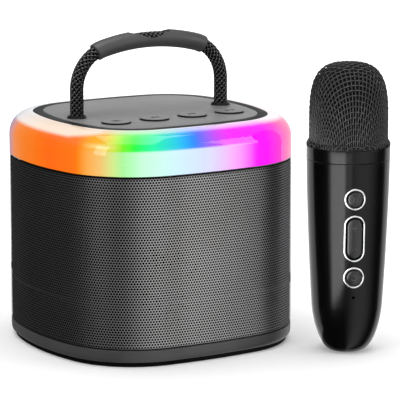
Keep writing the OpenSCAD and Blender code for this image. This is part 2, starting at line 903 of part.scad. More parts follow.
module card_slot() {
    back = half_d - 0.9;
    color("#a9abad") translate([port_spread, back, port_z]) difference() {
        translate([-card_w / 2, -card_l, -card_h / 2]) cube([card_w, card_l, card_h]);
        translate([-card_slit_w / 2, 1 - card_l, -card_slit_h / 2])
            cube([card_slit_w, card_l, card_slit_h]);
    }
}

module port_board() {
    color("#1f6b3b")
        translate([0, port_board_back - port_board_d, port_floor_z - board_t]) {
            translate([-port_plate_w / 2, 0, 0]) cube([port_plate_w, port_board_d, board_t]);
            // Packers that bring the two flatter sockets up to the jack's middle
            translate([-port_spread - 4, 4, board_t])
                cube([8, port_board_d - 9, port_z - usb_h / 2 - port_floor_z]);
            translate([port_spread - 5, 4, board_t])
                cube([10, port_board_d - 9, port_z - card_h / 2 - port_floor_z]);
            // Feet down to the base cover
            for (s = [-1, 1])
                translate([s * (port_plate_w / 2 - 3) - 2, 2, floor_top - port_floor_z + board_t])
                    cube([4, 4, port_floor_z - board_t - floor_top + 0.5]);
        }
}

// ---------------------------------------------------------------- boards and battery

module main_board() {
    color("#1f6b3b") translate([-main_w / 2, main_front, main_z])
        cube([main_w, main_back - main_front, board_t]);
}

module board_parts() {
    top = main_z + board_t;
    color("#2a2c30") {
        translate([-24, -18, top]) cube([14, 14, 1.4]);
        translate([8, -16, top]) cube([18, 13, 2.2]);
        translate([-26, 6, top]) cube([10, 10, 4.2]);
        translate([-12, 20, top]) cube([9, 6, 5.5]);
        translate([2, 20, top]) cube([9, 6, 5.5]);
        for (x = [0, 11, 22]) translate([x, 8, top]) cylinder(r = 4, h = 7.5);
    }
}

module battery_holder() {
    l = cell_l + 2 * fit;
    w = cell_d + 2 * fit;
    color("#202124") translate([0, cell_y, floor_top]) difference() {
        translate([-l / 2 - holder_wall, -w / 2 - holder_wall, 0])
            cube([l + 2 * holder_wall, w + 2 * holder_wall, cell_r + holder_wall]);
        translate([-l / 2, -w / 2, holder_wall]) cube([l, w, cell_d]);
    }
}

module battery_cell() {
    color("#2d6fb0") translate([-cell_l / 2, cell_y, cell_z]) rotate([0, 90, 0]) {
        cylinder(r = cell_r, h = cell_l - 1);
        cylinder(r = 2.6, h = cell_l);
    }
}

// From the connectors on the main board, down through the deck, to the driver
module speaker_leads() {
    color("#8a1c1c")
        tube([
            [6, 26.6, main_z + 5], [4, 33, main_z + 5], [2, 37, main_z + 2],
            [2, 37.5, 90], [2, 37.5, 84], [3, 35, 79], [5, 25, 76], [6, 0, 73],
            [7, -24, 71.5], [7, -32, 70], [7, -38, 69.1]
        ], lead_d / 2, 8, lead_aside);
}

module battery_leads() {
    color("#1c1c1e")
        tube([
            [-8, 26.6, main_z + 5], [-5, 33, main_z + 5], [-2, 37, main_z + 2],
            [-2, 37.5, 90], [-2, 37.5, 60], [-3, 37, 44], [-10, 36, 34], [-24, 35, 28],
            [-34, 33, 22], [-38, 28, 18], [-39, 23, 16]
        ], lead_d / 2, 8, lead_aside);
}

// ---------------------------------------------------------------- microphone

// Radius of the barrel at a height
function mic_r(z) =
    let (low = max(0, 1 - z / mic_round_h))
    mic_top_r
    - mic_taper * pow(1 - min(z, mic_barrel_h) / mic_barrel_h, 1.6)
    - mic_round_w * (1 - sqrt(1 - low * low));

// Heights from z0 to z1, closer together near the ground
function mic_heights(z0, z1) =
    [for (i = [0:mic_steps]) z0 + (z1 - z0) * pow(i / mic_steps, 1.8)];

// The barrel's solid between two heights, drawn in by an inset
module mic_solid(inset, z0, z1) {
    heights = mic_heights(z0, z1);
    rotate_extrude()
        polygon(concat(
            [[0, z0]],
            [for (z = heights) [mic_r(z) - inset, z]],
            [[0, z1]]));
}

// Turns a piece drawn with the keys to the front to its place
module at_mic() {
    translate([mic_x, -mic_y, 0]) rotate(-mic_turn) children();
}

// Points a piece drawn along +Z out of the keys' side, at a height
module from_key(z) {
    translate([0, 0, z]) rotate([90, 0, 0]) children();
}

// The three key outlines, drawn outwards from the middle of the barrel
module key_outlines(r) {
    for (z = mic_key_z) from_key(z) cylinder(r = r, h = mic_top_r + 2);
    from_key(mic_rocker_z) rotate(90) pill(mic_rocker_half, r, mic_top_r + 2);
}

module mic_barrel() {
    color("#0c0c0e") at_mic() difference() {
        mic_solid(0, 0, mic_collar_z);
        difference() {
            mic_solid(mic_wall, mic_floor_t, mic_collar_z + 0.01);
            // Pads behind the keys
            translate([-7, -mic_top_r, mic_key_z[1] - 8])
                cube([14, mic_top_r - mic_pad_f, mic_key_z[0] - mic_key_z[1] + 16]);
        }
        key_outlines(mic_ring_r + tiny);
        from_key(mic_pinhole_z) cylinder(r = 0.75, h = mic_top_r + 2);
        translate([0, 0, -1]) cylinder(r = mic_foot_r + fit, h = mic_floor_t + 2);
    }
}

module mic_foot() {
    color("#141416") at_mic() difference() {
        cylinder(r = mic_foot_r, h = mic_floor_t);
        translate([0, 0, -1]) pill(usb_w / 2 - usb_h / 2 + fit, usb_h / 2 + fit, mic_floor_t + 2);
    }
}

module mic_usb_port() {
    color("#b9bbbd") at_mic() translate([0, 0, 0.5]) difference() {
        pill(usb_w / 2 - usb_h / 2, usb_h / 2, usb_l);
        translate([0, 0, -1]) difference() {
            pill(usb_w / 2 - usb_h / 2, usb_h / 2 - usb_wall, usb_l);
            translate([-3, -0.35, 1.8]) cube([6, 0.7, usb_l]);
        }
    }
}

module mic_collar() {
    color("#101012") at_mic() {
        difference() {
            translate([0, 0, mic_collar_z + 0.2])
                cylinder(r = mic_top_r, h = mic_collar_h - 0.2);
            translate([0, 0, mic_collar_z - 1])
                cylinder(r = mic_collar_bore_r, h = mic_collar_h + 2);
        }
        ring(mic_top_r - mic_wall - 0.3, mic_collar_bore_r, mic_collar_z - 4, mic_collar_z + 1);
    }
}

module mic_rim() {
    color("#0a0a0b") at_mic() translate([0, 0, mic_barrel_h]) difference() {
        cylinder(r1 = mic_top_r, r2 = mic_head_r + 0.4, h = mic_rim_h);
        translate([0, 0, -1]) cylinder(r = mic_head_r - mic_head_t - 1, h = mic_rim_h + 2);
    }
}

// Radius of the head at a height over its shoulder: upright, then closing in
function head_r(t) = mic_head_r * pow(1 - pow(t, 3.2), 1 / 3.2);

module mic_head_solid(inset, z0) {
    shoulder = mic_barrel_h + mic_head_h * 0.27;
    rise = mic_head_top - inset - shoulder;
    steps = 20;
    rotate_extrude()
        polygon(concat(
            [[0, z0], [mic_head_r + 0.1 - inset, z0]],
            [for (i = [0:steps - 1])
                let (t = sin(90 * i / steps)) [head_r(t) - inset * head_r(t) / mic_head_r,
                    shoulder + rise * t]],
            [[0, shoulder + rise]]));
}

module mic_head() {
    color("#1b1b1d") at_mic() difference() {
        mic_head_solid(0, mic_barrel_h + mic_rim_h);
        mic_head_solid(mic_head_t, mic_barrel_h);
    }
}

module mic_foam() {
    color("#0e0e0f") at_mic() difference() {
        mic_head_solid(mic_head_t + 0.3, mic_barrel_h + mic_rim_h);
        // The space for the cup and the capsule
        translate([0, 0, mic_barrel_h])
            cylinder(
                r = mic_cup_r + 0.4,
                h = mic_cup_z + mic_cup_floor_t + mic_capsule_h + 0.2 - mic_barrel_h);
    }
}

module mic_capsule() {
    color("#c9a24a") at_mic() translate([0, 0, mic_cup_z + mic_cup_floor_t + fit])
        cylinder(r = mic_capsule_r, h = mic_capsule_h);
}

module mic_capsule_cup() {
    color("#26272a") at_mic() {
        ring(mic_cup_r, mic_capsule_r + fit, mic_cup_z, mic_cup_z + 5);
        translate([0, 0, mic_cup_z]) cylinder(r = mic_cup_r, h = mic_cup_floor_t);
        ring(mic_cup_r, mic_cup_r - 3, mic_barrel_h - 3, mic_cup_z);
        ring(mic_collar_bore_r - fit, mic_cup_r - 3, mic_barrel_h - 5, mic_barrel_h - 3);
    }
}

// The three bright rings, flush with the barrel's side
module mic_key_rings() {
    color("#e6e8ea") at_mic() difference() {
        intersection() {
            key_outlines(mic_ring_r);
            mic_solid(-mic_ring_rise, mic_key_z[1] - 9, mic_key_z[0] + 9);
        }
        key_outlines(mic_bore_r);
        translate([-mic_top_r, -mic_pad_f, 0])
            cube([2 * mic_top_r, 2 * mic_top_r, mic_barrel_h]);
    }
}

// A key's cap over its flange, measured outwards from the barrel's middle
module round_key(z) {
    from_key(z) {
        translate([0, 0, key_flange_f]) cylinder(r = mic_ring_r - 0.2, h = key_flange_t);
        translate([0, 0, key_flange_f])
            cylinder(r = mic_cap_r, h = mic_r(z) + mic_rise - key_flange_f);
    }
}

module mic_key_top() {
    color("#17171a") at_mic() round_key(mic_key_z[0]);
}

module mic_key_bottom() {
    color("#17171a") at_mic() round_key(mic_key_z[1]);
}

module mic_rocker() {
    color("#17171a") at_mic() from_key(mic_rocker_z) rotate(90) {
        translate([0, 0, key_flange_f])
            pill(mic_rocker_half - 0.2, mic_cap_r, mic_r(mic_rocker_z) + mic_rise - key_flange_f);
        // Stub axle that the rocker tips on
        translate([0, 0, key_flange_f]) rotate([90, 0, 0])
            cylinder(r = 0.9, h = 2 * mic_cap_r + 1.4, center = true);
    }
}

module mic_board() {
    color("#1f6b3b") at_mic()
        translate([-mic_board_w / 2, -mic_board_f, mic_board_z])
            cube([mic_board_w, board_t, mic_board_l]);
}

module mic_switches() {
    color("#303134") at_mic()
        for (z = [mic_key_z[0], mic_rocker_z + 5.5, mic_rocker_z - 5.5, mic_key_z[1]])
            from_key(z) {
                translate([-mic_switch_w / 2, -mic_switch_w / 2, mic_board_f])
                    cube([mic_switch_w, mic_switch_w, mic_switch_f - mic_board_f - 0.9]);
                translate([0, 0, mic_board_f])
                    cylinder(r = mic_switch_stem_r, h = mic_switch_f - mic_board_f);
            }
}

module mic_battery() {
    color("#3c8f57") at_mic()
        translate([0, board_t + mic_cell_r + fit - mic_board_f, mic_cell_z])
        cylinder(r = mic_cell_r, h = mic_cell_l);
}

foot_ring();
base_cover();
base_screws();
grille_sleeve();
enclosure();
enclosure_back();
driver_basket();
driver_magnet();
driver_spider();
driver_surround();
driver_screws();
driver_cone();
dust_cap();
voice_coil();
light_band();
light_frame();
led_board();
leds();
top_trim();
top_panel();
panel_screws();
button(0);  // button_mode
button(1);  // button_down
button(2);  // button_up
button(3);  // button_play
eyelet(-1);  // socket_left
eyelet(1);  // socket_right
cord_end(-1);  // cord_end_left
cord_end(1);  // cord_end_right
handle_cord();
handle_grip();
port_plate();
usb_c_port();
aux_jack();
card_slot();
port_board();
button_board();
tact_switches();
main_board();
board_parts();
battery_holder();
battery_cell();
speaker_leads();
battery_leads();
mic_barrel();
mic_collar();
mic_rim();
mic_head();
mic_foam();
mic_capsule();
mic_capsule_cup();
mic_key_rings();
mic_key_top();
mic_rocker();
mic_key_bottom();
mic_board();
mic_switches();
mic_battery();
mic_usb_port();
mic_foot();
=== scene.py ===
import json
import math

import bmesh
import bpy
import numpy as np
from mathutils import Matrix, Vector
from mathutils.geometry import delaunay_2d_cdt


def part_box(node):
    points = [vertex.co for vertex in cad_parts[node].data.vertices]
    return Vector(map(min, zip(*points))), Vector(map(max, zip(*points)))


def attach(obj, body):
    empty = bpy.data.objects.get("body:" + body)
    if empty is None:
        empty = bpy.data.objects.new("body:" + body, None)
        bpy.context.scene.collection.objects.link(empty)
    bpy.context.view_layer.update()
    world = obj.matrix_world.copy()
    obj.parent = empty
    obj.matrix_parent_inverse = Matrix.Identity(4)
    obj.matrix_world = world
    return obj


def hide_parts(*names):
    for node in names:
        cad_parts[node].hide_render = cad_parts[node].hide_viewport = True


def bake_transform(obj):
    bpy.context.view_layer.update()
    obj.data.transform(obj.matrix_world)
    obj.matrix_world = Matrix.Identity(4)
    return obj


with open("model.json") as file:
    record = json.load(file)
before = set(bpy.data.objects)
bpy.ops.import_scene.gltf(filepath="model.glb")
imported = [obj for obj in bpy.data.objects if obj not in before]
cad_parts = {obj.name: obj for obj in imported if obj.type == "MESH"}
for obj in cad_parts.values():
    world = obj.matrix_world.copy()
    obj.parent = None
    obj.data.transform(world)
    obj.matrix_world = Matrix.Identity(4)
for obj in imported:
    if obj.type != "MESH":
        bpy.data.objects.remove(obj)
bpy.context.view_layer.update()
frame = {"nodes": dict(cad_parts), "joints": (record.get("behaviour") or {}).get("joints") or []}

MM = 0.001
TURN = 2 * np.pi


def span(node):
    """Lowest and highest corner of a CAD node, as arrays."""
    low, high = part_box(node)
    return np.array(low), np.array(high)


# ---------------------------------------------------------------- sizes, from the frame

sleeve_low, sleeve_high = span("grille_sleeve")
cover_low, cover_high = span("base_cover")
foot_low, foot_high = span("foot_ring")
band_low, band_high = span("light_band")
trim_z = span("top_trim")[0][2]
panel_high = span("top_panel")[1]
eyelet_low, eyelet_high = span("socket_right")
plate_low, plate_high = span("port_plate")

half_w, half_d = sleeve_high[0], sleeve_high[1]
corner_r, side_bow, front_bow = 41.8 * MM, 2.4 * MM, 1.1 * MM
base_edge_r = 2 * MM
base_wall = 4.5 * MM
band_wall = 2.2 * MM
shoulder_r = 11 * MM
panel_inset = half_w - panel_high[0]
panel_top, panel_t = panel_high[2], 2.6 * MM
trim_inset, trim_w = 11.7 * MM, 5 * MM
BUTTON_R = 7 * MM
EYELET_NECK_R = 4.55 * MM
button_hole_gap = 0.25 * MM
handle_half = (eyelet_low[0] + eyelet_high[0]) / 2
handle_shoulder_r, handle_crown_r, handle_bend_z = 20 * MM, 103 * MM, 125.85 * MM
cord_r, grip_r = 3.15 * MM, 4.35 * MM
port_z = (plate_low[2] + plate_high[2]) / 2
port_half_w, port_half_h = plate_high[0], (plate_high[2] - plate_low[2]) / 2


# ---------------------------------------------------------------- meshes

class Plan:
    """The speaker's outline: four corner arcs joined by four long shallow arcs. A place on it is
    a run, in metres anticlockwise from the start of the right side's arc, and an inset."""

    def __init__(self):
        x = half_w - corner_r - side_bow
        y = half_d - corner_r - front_bow
        side_off = (x * x + y * y - (half_w - corner_r) ** 2) / (2 * side_bow)
        front_off = (x * x + y * y - (half_d - corner_r) ** 2) / (2 * front_bow)
        side, front = side_off + half_w, front_off + half_d
        side_turn, front_turn = math.atan2(y, x + side_off), math.atan2(x, y + front_off)
        corner_turn = math.pi / 2 - side_turn - front_turn
        rows = []
        for k, (sx, sy) in enumerate(((1, 1), (-1, 1), (-1, -1), (1, -1))):
            quarter = k * math.pi / 2
            along, off, r, turn = (
                (side, side_off, 0, side_turn) if k % 2 == 0 else (front, front_off, 1, front_turn))
            centre = (-off * math.cos(quarter), -off * math.sin(quarter))
            rows.append((*centre, along, quarter - turn, 2 * turn))
            rows.append((sx * x, sy * y, corner_r, quarter + turn, corner_turn))
        table = np.array(rows)
        self.centre, self.radius, self.first = table[:, :2], table[:, 2], table[:, 3]
        self.ends = np.cumsum(table[:, 2] * table[:, 4])
        self.length = self.ends[-1]
        self.back = self.ends[1] + table[2, 2] * table[2, 4] / 2

    def at(self, run, inset=0.0):
        """(x, y) of a run at an inset."""
        run = np.mod(run, self.length)
        k = np.minimum(np.searchsorted(self.ends, run, side="right"), len(self.ends) - 1)
        start = np.concatenate([[0.0], self.ends[:-1]])[k]
        angle = self.first[k] + (run - start) / self.radius[k]
        reach = (self.radius[k] - inset)[..., None]
        return self.centre[k] + reach * np.stack([np.cos(angle), np.sin(angle)], -1)


plan = Plan()


def build_mesh(name, points, *faces, painted=0):
    """A mesh of (n, 3) points and arrays of faces, each array with one number of corners. As many
    of the last faces as painted says take the second material."""
    mesh = bpy.data.meshes.new(name)
    faces = [np.asarray(f, np.int32) for f in faces if len(f)]
    corners = np.concatenate([f.ravel() for f in faces])
    sizes = np.concatenate([np.full(len(f), f.shape[1], np.int32) for f in faces])
    mesh.vertices.add(len(points))
    mesh.vertices.foreach_set("co", np.asarray(points, np.float32).ravel())
    mesh.loops.add(len(corners))
    mesh.loops.foreach_set("vertex_index", corners)
    mesh.polygons.add(len(sizes))
    mesh.polygons.foreach_set("loop_start", np.concatenate([[0], np.cumsum(sizes)[:-1]]))
    mesh.polygons.foreach_set("loop_total", sizes)
    second = np.arange(len(sizes)) >= len(sizes) - painted
    mesh.polygons.foreach_set("material_index", second.astype(np.int32))
    mesh.update(calc_edges=True)
    mesh.validate()
    return mesh


def tidy_mesh(mesh, merge=True):
    """Merges doubles, if asked to, and turns the faces of a closed mesh outwards."""
    work = bmesh.new()
    work.from_mesh(mesh)
    if merge:
        bmesh.ops.remove_doubles(work, verts=work.verts, dist=1e-7)
    bmesh.ops.recalc_face_normals(work, faces=work.faces)
    work.to_mesh(mesh)
    work.free()


def piece(name, mesh, finish, body, replaces=(), smooth=35.0):
    """A finished piece of a body. Edges sharper than smooth, in degrees, stay sharp."""
    made = bpy.data.objects.new(name, mesh)
    bpy.context.scene.collection.objects.link(made)
    for f in finish if isinstance(finish, (list, tuple)) else [finish]:
        mesh.materials.append(f)
    if smooth:
        mesh.shade_smooth()
        mesh.set_sharp_from_angle(angle=math.radians(smooth))
    else:
        mesh.shade_flat()
    if body:
        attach(made, body)
    if replaces:
        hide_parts(*replaces)
    return made


def grid_faces(rows, columns, wrap_rows=False, wrap_columns=True):
    """Quads between neighbours of a grid of points, row by row."""
    i = np.arange(rows if wrap_rows else rows - 1)[:, None]
    j = np.arange(columns if wrap_columns else columns - 1)[None, :]
    a, b = i * columns + j, i * columns + (j + 1) % columns
    c, d = (i + 1) % rows * columns + (j + 1) % columns, (i + 1) % rows * columns + j
    return np.stack([a, b, c, d], -1).reshape(-1, 4)


def rounded(points, radius, steps=4, closed=True):
    """A line of (n, 2) points with each corner cut back by its radius and bridged by a
    quadratic curve through steps + 1 points. A radius of 0 keeps the corner."""
    points = np.asarray(points, float)
    radii = np.broadcast_to(radius, len(points))
    t = np.linspace(0, 1, steps + 1)[:, None]
    line = []
    for k, (p, r) in enumerate(zip(points, radii)):
        if r == 0 or (not closed and k in (0, len(points) - 1)):
            line.append(p[None])
            continue
        before, after = points[k - 1] - p, points[(k + 1) % len(points)] - p
        a = p + before / np.linalg.norm(before) * min(r, np.linalg.norm(before) / 2.01)
        b = p + after / np.linalg.norm(after) * min(r, np.linalg.norm(after) / 2.01)
        line.append((1 - t) ** 2 * a + 2 * t * (1 - t) * p + t * t * b)
    return np.concatenate(line)


def lathe(name, profile, centre, segments=96, closed=True):
    """A profile of (radius, height) pairs turned about a vertical line: each ring is
    centre + (r cos t, r sin t, z). A closed profile joins its last ring to its first."""
    t = np.arange(segments) / segments * TURN
    r, z = np.asarray(profile, float).T
    points = np.stack([
        centre[0] + r[:, None] * np.cos(t),
        centre[1] + r[:, None] * np.sin(t),
        np.broadcast_to(z[:, None], (len(r), segments))], -1)
    mesh = build_mesh(name, points.reshape(-1, 3), grid_faces(len(r), segments, closed))
    tidy_mesh(mesh)
    return mesh


def round_plan(name, profile, columns=560):
    """A closed profile of (inset, height) pairs carried round the speaker's outline."""
    run = np.arange(columns) / columns * plan.length
    inset, z = np.asarray(profile, float).T
    flat = np.stack([plan.at(run, i) for i in inset])
    high = np.broadcast_to(z[:, None, None], (*flat.shape[:2], 1))
    points = np.concatenate([flat, high], -1)
    mesh = build_mesh(name, points.reshape(-1, 3), grid_faces(len(z), columns, True))
    tidy_mesh(mesh)
    return mesh


def filled(loops):
    """Triangles that fill the first closed loop of (n, 2) points, less the others, which are
    holes, by a Delaunay triangulation that keeps every loop's edges."""
    points = np.concatenate(loops)
    edges, start = [], 0
    for loop in loops:
        n = len(loop)
        edges += [(start + k, start + (k + 1) % n) for k in range(n)]
        start += n
    flat, _, faces, *_ = delaunay_2d_cdt([Vector(p) for p in points], edges, [], 0, 1e-9)
    flat, faces = np.array([tuple(p) for p in flat]), np.array([f for f in faces if len(f) == 3])
    middle = flat[faces].mean(1)
    keep = inside(middle, loops[0])
    for hole in loops[1:]:
        keep &= ~inside(middle, hole)
    return flat, faces[keep]


def inside(points, loop):
    """Whether each point is inside a closed loop: the loop crosses the line to its right an odd
    number of times."""
    a, b = loop, np.roll(loop, -1, 0)
    x, y = points[:, 0, None], points[:, 1, None]
    spans = (a[:, 1] > y) != (b[:, 1] > y)
    rise = np.where(b[:, 1] == a[:, 1], 1e-12, b[:, 1] - a[:, 1])
    cross = a[:, 0] + (y - a[:, 1]) * (b[:, 0] - a[:, 0]) / rise
    return (spans & (x < cross)).sum(1) % 2 == 1


def circle(x, y, r, steps=64):
    """A loop of points round a circle."""
    t = np.arange(steps) / steps * TURN
    return np.stack([x + r * np.cos(t), y + r * np.sin(t)], -1)


def plate(name, loops, low, high, bevel, steps=3):
    """A flat plate between two heights with rounded edges. Each loop is a function of how far it
    is drawn into the plate; the first is the outside and the others are holes."""
    turn = np.linspace(0, np.pi / 2, steps + 1)
    depth = np.concatenate([bevel * (1 - np.cos(turn)), [high - low]])
    draw = np.concatenate([bevel * (1 - np.sin(turn)), [0.0]])
    points, faces, start = [], [], 0
    for z, d in ((high, bevel), (low, 0.0)):
        flat, tris = filled([loop(d) for loop in loops])
        points.append(np.c_[flat, np.full(len(flat), z)])
        faces.append(tris + start)
        start += len(flat)
    quads = []
    for loop in loops:
        rings = np.stack([
            np.c_[loop(d), np.full(len(loop(d)), high - h)] for h, d in zip(depth, draw)])
        points.append(rings.reshape(-1, 3))
        quads.append(grid_faces(len(rings), rings.shape[1]) + start)
        start += rings.shape[0] * rings.shape[1]
    mesh = build_mesh(name, np.concatenate(points), np.concatenate(faces), np.concatenate(quads))
    tidy_mesh(mesh)
    return mesh


def joined(name, meshes):
    """Several meshes as one."""
    work = bmesh.new()
    for mesh in meshes:
        work.from_mesh(mesh)
    whole = bpy.data.meshes.new(name)
    work.to_mesh(whole)
    work.free()
    return whole


def tube_frames(path):
    """Directions along, across and up for each point of a path that stays in one upright plane:
    across is the plane's normal, +Y, and up is square to both."""
    along = np.gradient(path, axis=0)
    along /= np.linalg.norm(along, axis=1, keepdims=True)
    across = np.broadcast_to([0.0, 1.0, 0.0], along.shape)
    return along, across, np.cross(along, across)


# ---------------------------------------------------------------- shader maths

class Value:
    """A material's number socket; its operators add Math nodes."""

    def __init__(self, finish, socket):
        self.finish, self.socket = finish, socket

    def _math(self, operation, *others, **settings):
        return self.finish.node(
            "ShaderNodeMath", dict(enumerate([self, *others])), operation=operation, **settings)

    def __add__(self, other):
        return self._math("ADD", other)

    __radd__ = __add__

    def __sub__(self, other):
        return self._math("SUBTRACT", other)

    def __rsub__(self, other):
        return (self * -1) + other

    def __mul__(self, other):
        return self._math("MULTIPLY", other)

    __rmul__ = __mul__

    def fraction(self):
        return self._math("FRACT")

    def wave(self):
        """The cosine of a whole number of turns."""
        return (self * TURN)._math("COSINE")

    def ramp(self, low, high, to_low=0.0, to_high=1.0):
        """0 to 1, or to_low to to_high, as it goes from low to high, smoothly."""
        return self.finish.node(
            "ShaderNodeMapRange",
            {"Value": self, "From Min": low, "From Max": high, "To Min": to_low, "To Max": to_high},
            interpolation_type="SMOOTHSTEP")


class Finish:
    """A material made of nodes."""

    def __init__(self, name):
        self.material = bpy.data.materials.new(name)
        self.material.use_nodes = True
        self.tree = self.material.node_tree
        self.tree.nodes.clear()

    def node(self, kind, sockets=None, output=0, **settings):
        """Adds a node, sets its settings and then its sockets, and gives one output."""
        node = self.tree.nodes.new(kind)
        for name, value in settings.items():
            setattr(node, name, value)
        for name, value in (sockets or {}).items():
            if isinstance(value, Value):
                self.tree.links.new(value.socket, node.inputs[name])
            else:
                node.inputs[name].default_value = value
        return Value(self, node.outputs[output])

    def place(self):
        return self.node("ShaderNodeTexCoord", output="Object")

    def part(self, vector, axis):
        return self.node("ShaderNodeSeparateXYZ", {"Vector": vector}, output=axis)

    def noise(self, scale, detail=2.0, rough=0.5):
        """Noise from 0 to 1 with a grain of 1 / scale metres."""
        return self.node(
            "ShaderNodeTexNoise",
            {"Vector": self.place(), "Scale": scale, "Detail": detail, "Roughness": rough})

    def mix(self, factor, a, b):
        """Colour a, going to colour b as factor goes to 1."""
        return self.node(
            "ShaderNodeMix", {0: factor, 6: a, 7: b}, output=2, data_type="RGBA", clamp_factor=True)

    def bump(self, height, distance, strength=1.0):
        return self.node(
            "ShaderNodeBump", {"Height": height, "Distance": distance, "Strength": strength})

    def surface(self, **sockets):
        """Ends the material in a Principled surface. Keywords are its sockets' names, with _ for
        a space."""
        named = {k.replace("_", " "): v for k, v in sockets.items()}
        shader = self.node("ShaderNodeBsdfPrincipled", named)
        output = self.tree.nodes.new("ShaderNodeOutputMaterial")
        self.tree.links.new(shader.socket, output.inputs["Surface"])
        return self.material


def grey(level, tint=(1.0, 1.0, 1.0)):
    """A colour of one lightness, tinted."""
    return (level * tint[0], level * tint[1], level * tint[2], 1.0)


def rgb(code):
    """The linear colour of a six-figure screen colour."""
    s = np.array([int(code[k:k + 2], 16) for k in (0, 2, 4)]) / 255
    linear = np.where(s <= 0.04045, s / 12.92, ((s + 0.055) / 1.055) ** 2.4)
    return (*linear.tolist(), 1.0)


def moulded(name, colour, rough, grain=0.35 * MM, depth=0.02 * MM, coat=0.0, patch=0.12, **more):
    """Moulded plastic or rubber: a fine spark-eroded grain, with patches a little duller and
    lighter than the rest."""
    f = Finish(name)
    worn = f.noise(60.0, 3.0)
    fine = f.noise(1 / grain, 2.0)
    light = tuple(min(1.0, c * (1 + 2 * patch)) for c in colour[:3]) + (1.0,)
    return f.surface(
        Base_Color=f.mix(worn.ramp(0.35, 0.75), colour, light),
        Roughness=worn.ramp(0.3, 0.7, rough * (1 - patch), rough * (1 + patch)),
        Coat_Weight=coat,
        Coat_Roughness=0.08,
        Normal=f.bump(fine, depth, 0.6), **more)


def metal(name, colour, rough, grain=0.5 * MM, depth=0.004 * MM, **more):
    """Plated or rolled metal: faint streaks and patches in its gloss."""
    f = Finish(name)
    worn = f.noise(90.0, 4.0)
    fine = f.noise(1 / grain, 3.0)
    dull = tuple(c * 0.86 for c in colour[:3]) + (1.0,)
    return f.surface(
        Base_Color=f.mix(worn.ramp(0.35, 0.7), colour, dull),
        Metallic=1.0,
        Roughness=worn.ramp(0.3, 0.7, rough * 0.85, rough * 1.25),
        Normal=f.bump(fine, depth, 0.5), **more)


# ---------------------------------------------------------------- finishes

PANEL_GREY = grey(0.236)


def satin(f, colour):
    """Ends a material in the satin of the panel and its keys, with a faint sparkle in its grain."""
    fine = f.noise(1 / (0.22 * MM), 2.0)
    return f.surface(
        Base_Color=colour,
        Roughness=fine.ramp(0.3, 0.7, 0.42, 0.56),
        Metallic=0.35,
        Normal=f.bump(fine, 0.012 * MM, 0.5))


def panel_finish():
    """Fine satin grey of the control panel, a little lighter in some places."""
    f = Finish("panel_satin_grey")
    cloud = f.noise(28.0, 2.0)
    return satin(f, f.mix(cloud.ramp(0.3, 0.7), PANEL_GREY, grey(0.258, (1.0, 1.0, 1.01))))


def button_finish(edge):
    """The panel's grey on the crown and near black on the side, below the edge."""
    f = Finish("button_grey")
    high = f.part(f.place(), "Z").ramp(edge - 0.08 * MM, edge)
    return satin(f, f.mix(high, grey(0.001), PANEL_GREY))


def grille_finish():
    """Dark painted steel with a satin sheen; the paint is a little thicker in some places."""
    f = Finish("grille_painted_steel")
    cloud = f.noise(35.0, 3.0)
    fine = f.noise(1 / (0.4 * MM), 2.0)
    return f.surface(
        Base_Color=f.mix(cloud.ramp(0.3, 0.7), grey(0.38), grey(0.42, (1.0, 1.0, 1.02))),
        Metallic=1.0,
        Specular_Tint=grey(0.2),
        Roughness=fine.ramp(0.3, 0.7, 0.38, 0.48),
        Normal=f.bump(fine, 0.01 * MM, 0.4))


def glow_finish():
    """The frosted inner face of the band, which the lights colour: the colour is the piece's own
    attribute, which also holds painted reflections and a painted highlight, and the frost breaks it up a
    little."""
    f = Finish("band_glow")
    colour = f.node("ShaderNodeAttribute", output="Color", attribute_name="glow_and_reflection")
    frost_and_reflection = f.noise(1 / (1.2 * MM), 2.0).ramp(0.2, 0.8, 0.97, 1.0)
    tinted = f.node("ShaderNodeVectorMath", {0: colour, "Scale": frost_and_reflection}, operation="SCALE")
    return f.surface(
        Base_Color=grey(0.02),
        Roughness=0.6,
        Emission_Color=tinted,
        Emission_Strength=1.1,
        Specular_IOR_Level=0.0)


def clear_finish():
    """Clear moulded shell over the lights."""
    f = Finish("band_clear")
    ripple = f.noise(60.0, 1.0)
    return f.surface(
        Base_Color=grey(0.98),
        Roughness=0.03,
        IOR=1.5,
        Transmission_Weight=1.0,
        Normal=f.bump(ripple, 0.02 * MM, 0.2))


def braid_finish():
    """Black nylon braid. The UV map runs once round the cord and in millimetres along it; two families of
    yarns cross at a slant, each made of three threads, with a lighter stripe at one side that is a painted
    highlight."""
    f = Finish("braided_cord")
    uv = f.node("ShaderNodeUVMap", uv_map="braid")
    around, along = f.part(uv, "X") * BRAID_YARNS, f.part(uv, "Y") * (1 / BRAID_LAY_MM)
    right, left = around + along, around - along
    over = ((right + left) * 0.5).wave() * ((right - left) * 0.5).wave()
    on_top = over.ramp(-0.15, 0.15)
    across = right * on_top + left * (1 - on_top)
    thread = (across * 3.0).wave()
    place = (across + 0.5).fraction()
    # Painted highlight: a light stripe along one side of each yarn
    lit = place.ramp(0.78, 0.84) * place.ramp(0.97, 0.91)
    hairs = f.noise(1 / (0.15 * MM), 2.0)
    return f.surface(
        Base_Color=f.mix(lit * hairs.ramp(0.25, 0.5), grey(0.0015), grey(0.42)),
        Roughness=hairs.ramp(0.3, 0.7, 0.5, 0.7),
        Specular_IOR_Level=0.06,
        Normal=f.bump(thread + hairs * 0.5, 0.06 * MM, 0.8))


def board_finish(name, colour):
    """Solder mask over copper: tracks show as slightly lighter bands."""
    f = Finish(name)
    cells = f.node(
        "ShaderNodeTexVoronoi", {"Vector": f.place(), "Scale": 420.0}, output="Distance",
        feature="DISTANCE_TO_EDGE", distance="MANHATTAN")
    track = cells.ramp(0.02, 0.06)
    pale = tuple(min(1.0, c * 1.7 + 0.01) for c in colour[:3]) + (1.0,)
    return f.surface(
        Base_Color=f.mix(track, pale, colour),
        Roughness=0.35,
        Coat_Weight=0.3,
        Normal=f.bump(track, 0.03 * MM, 0.4))


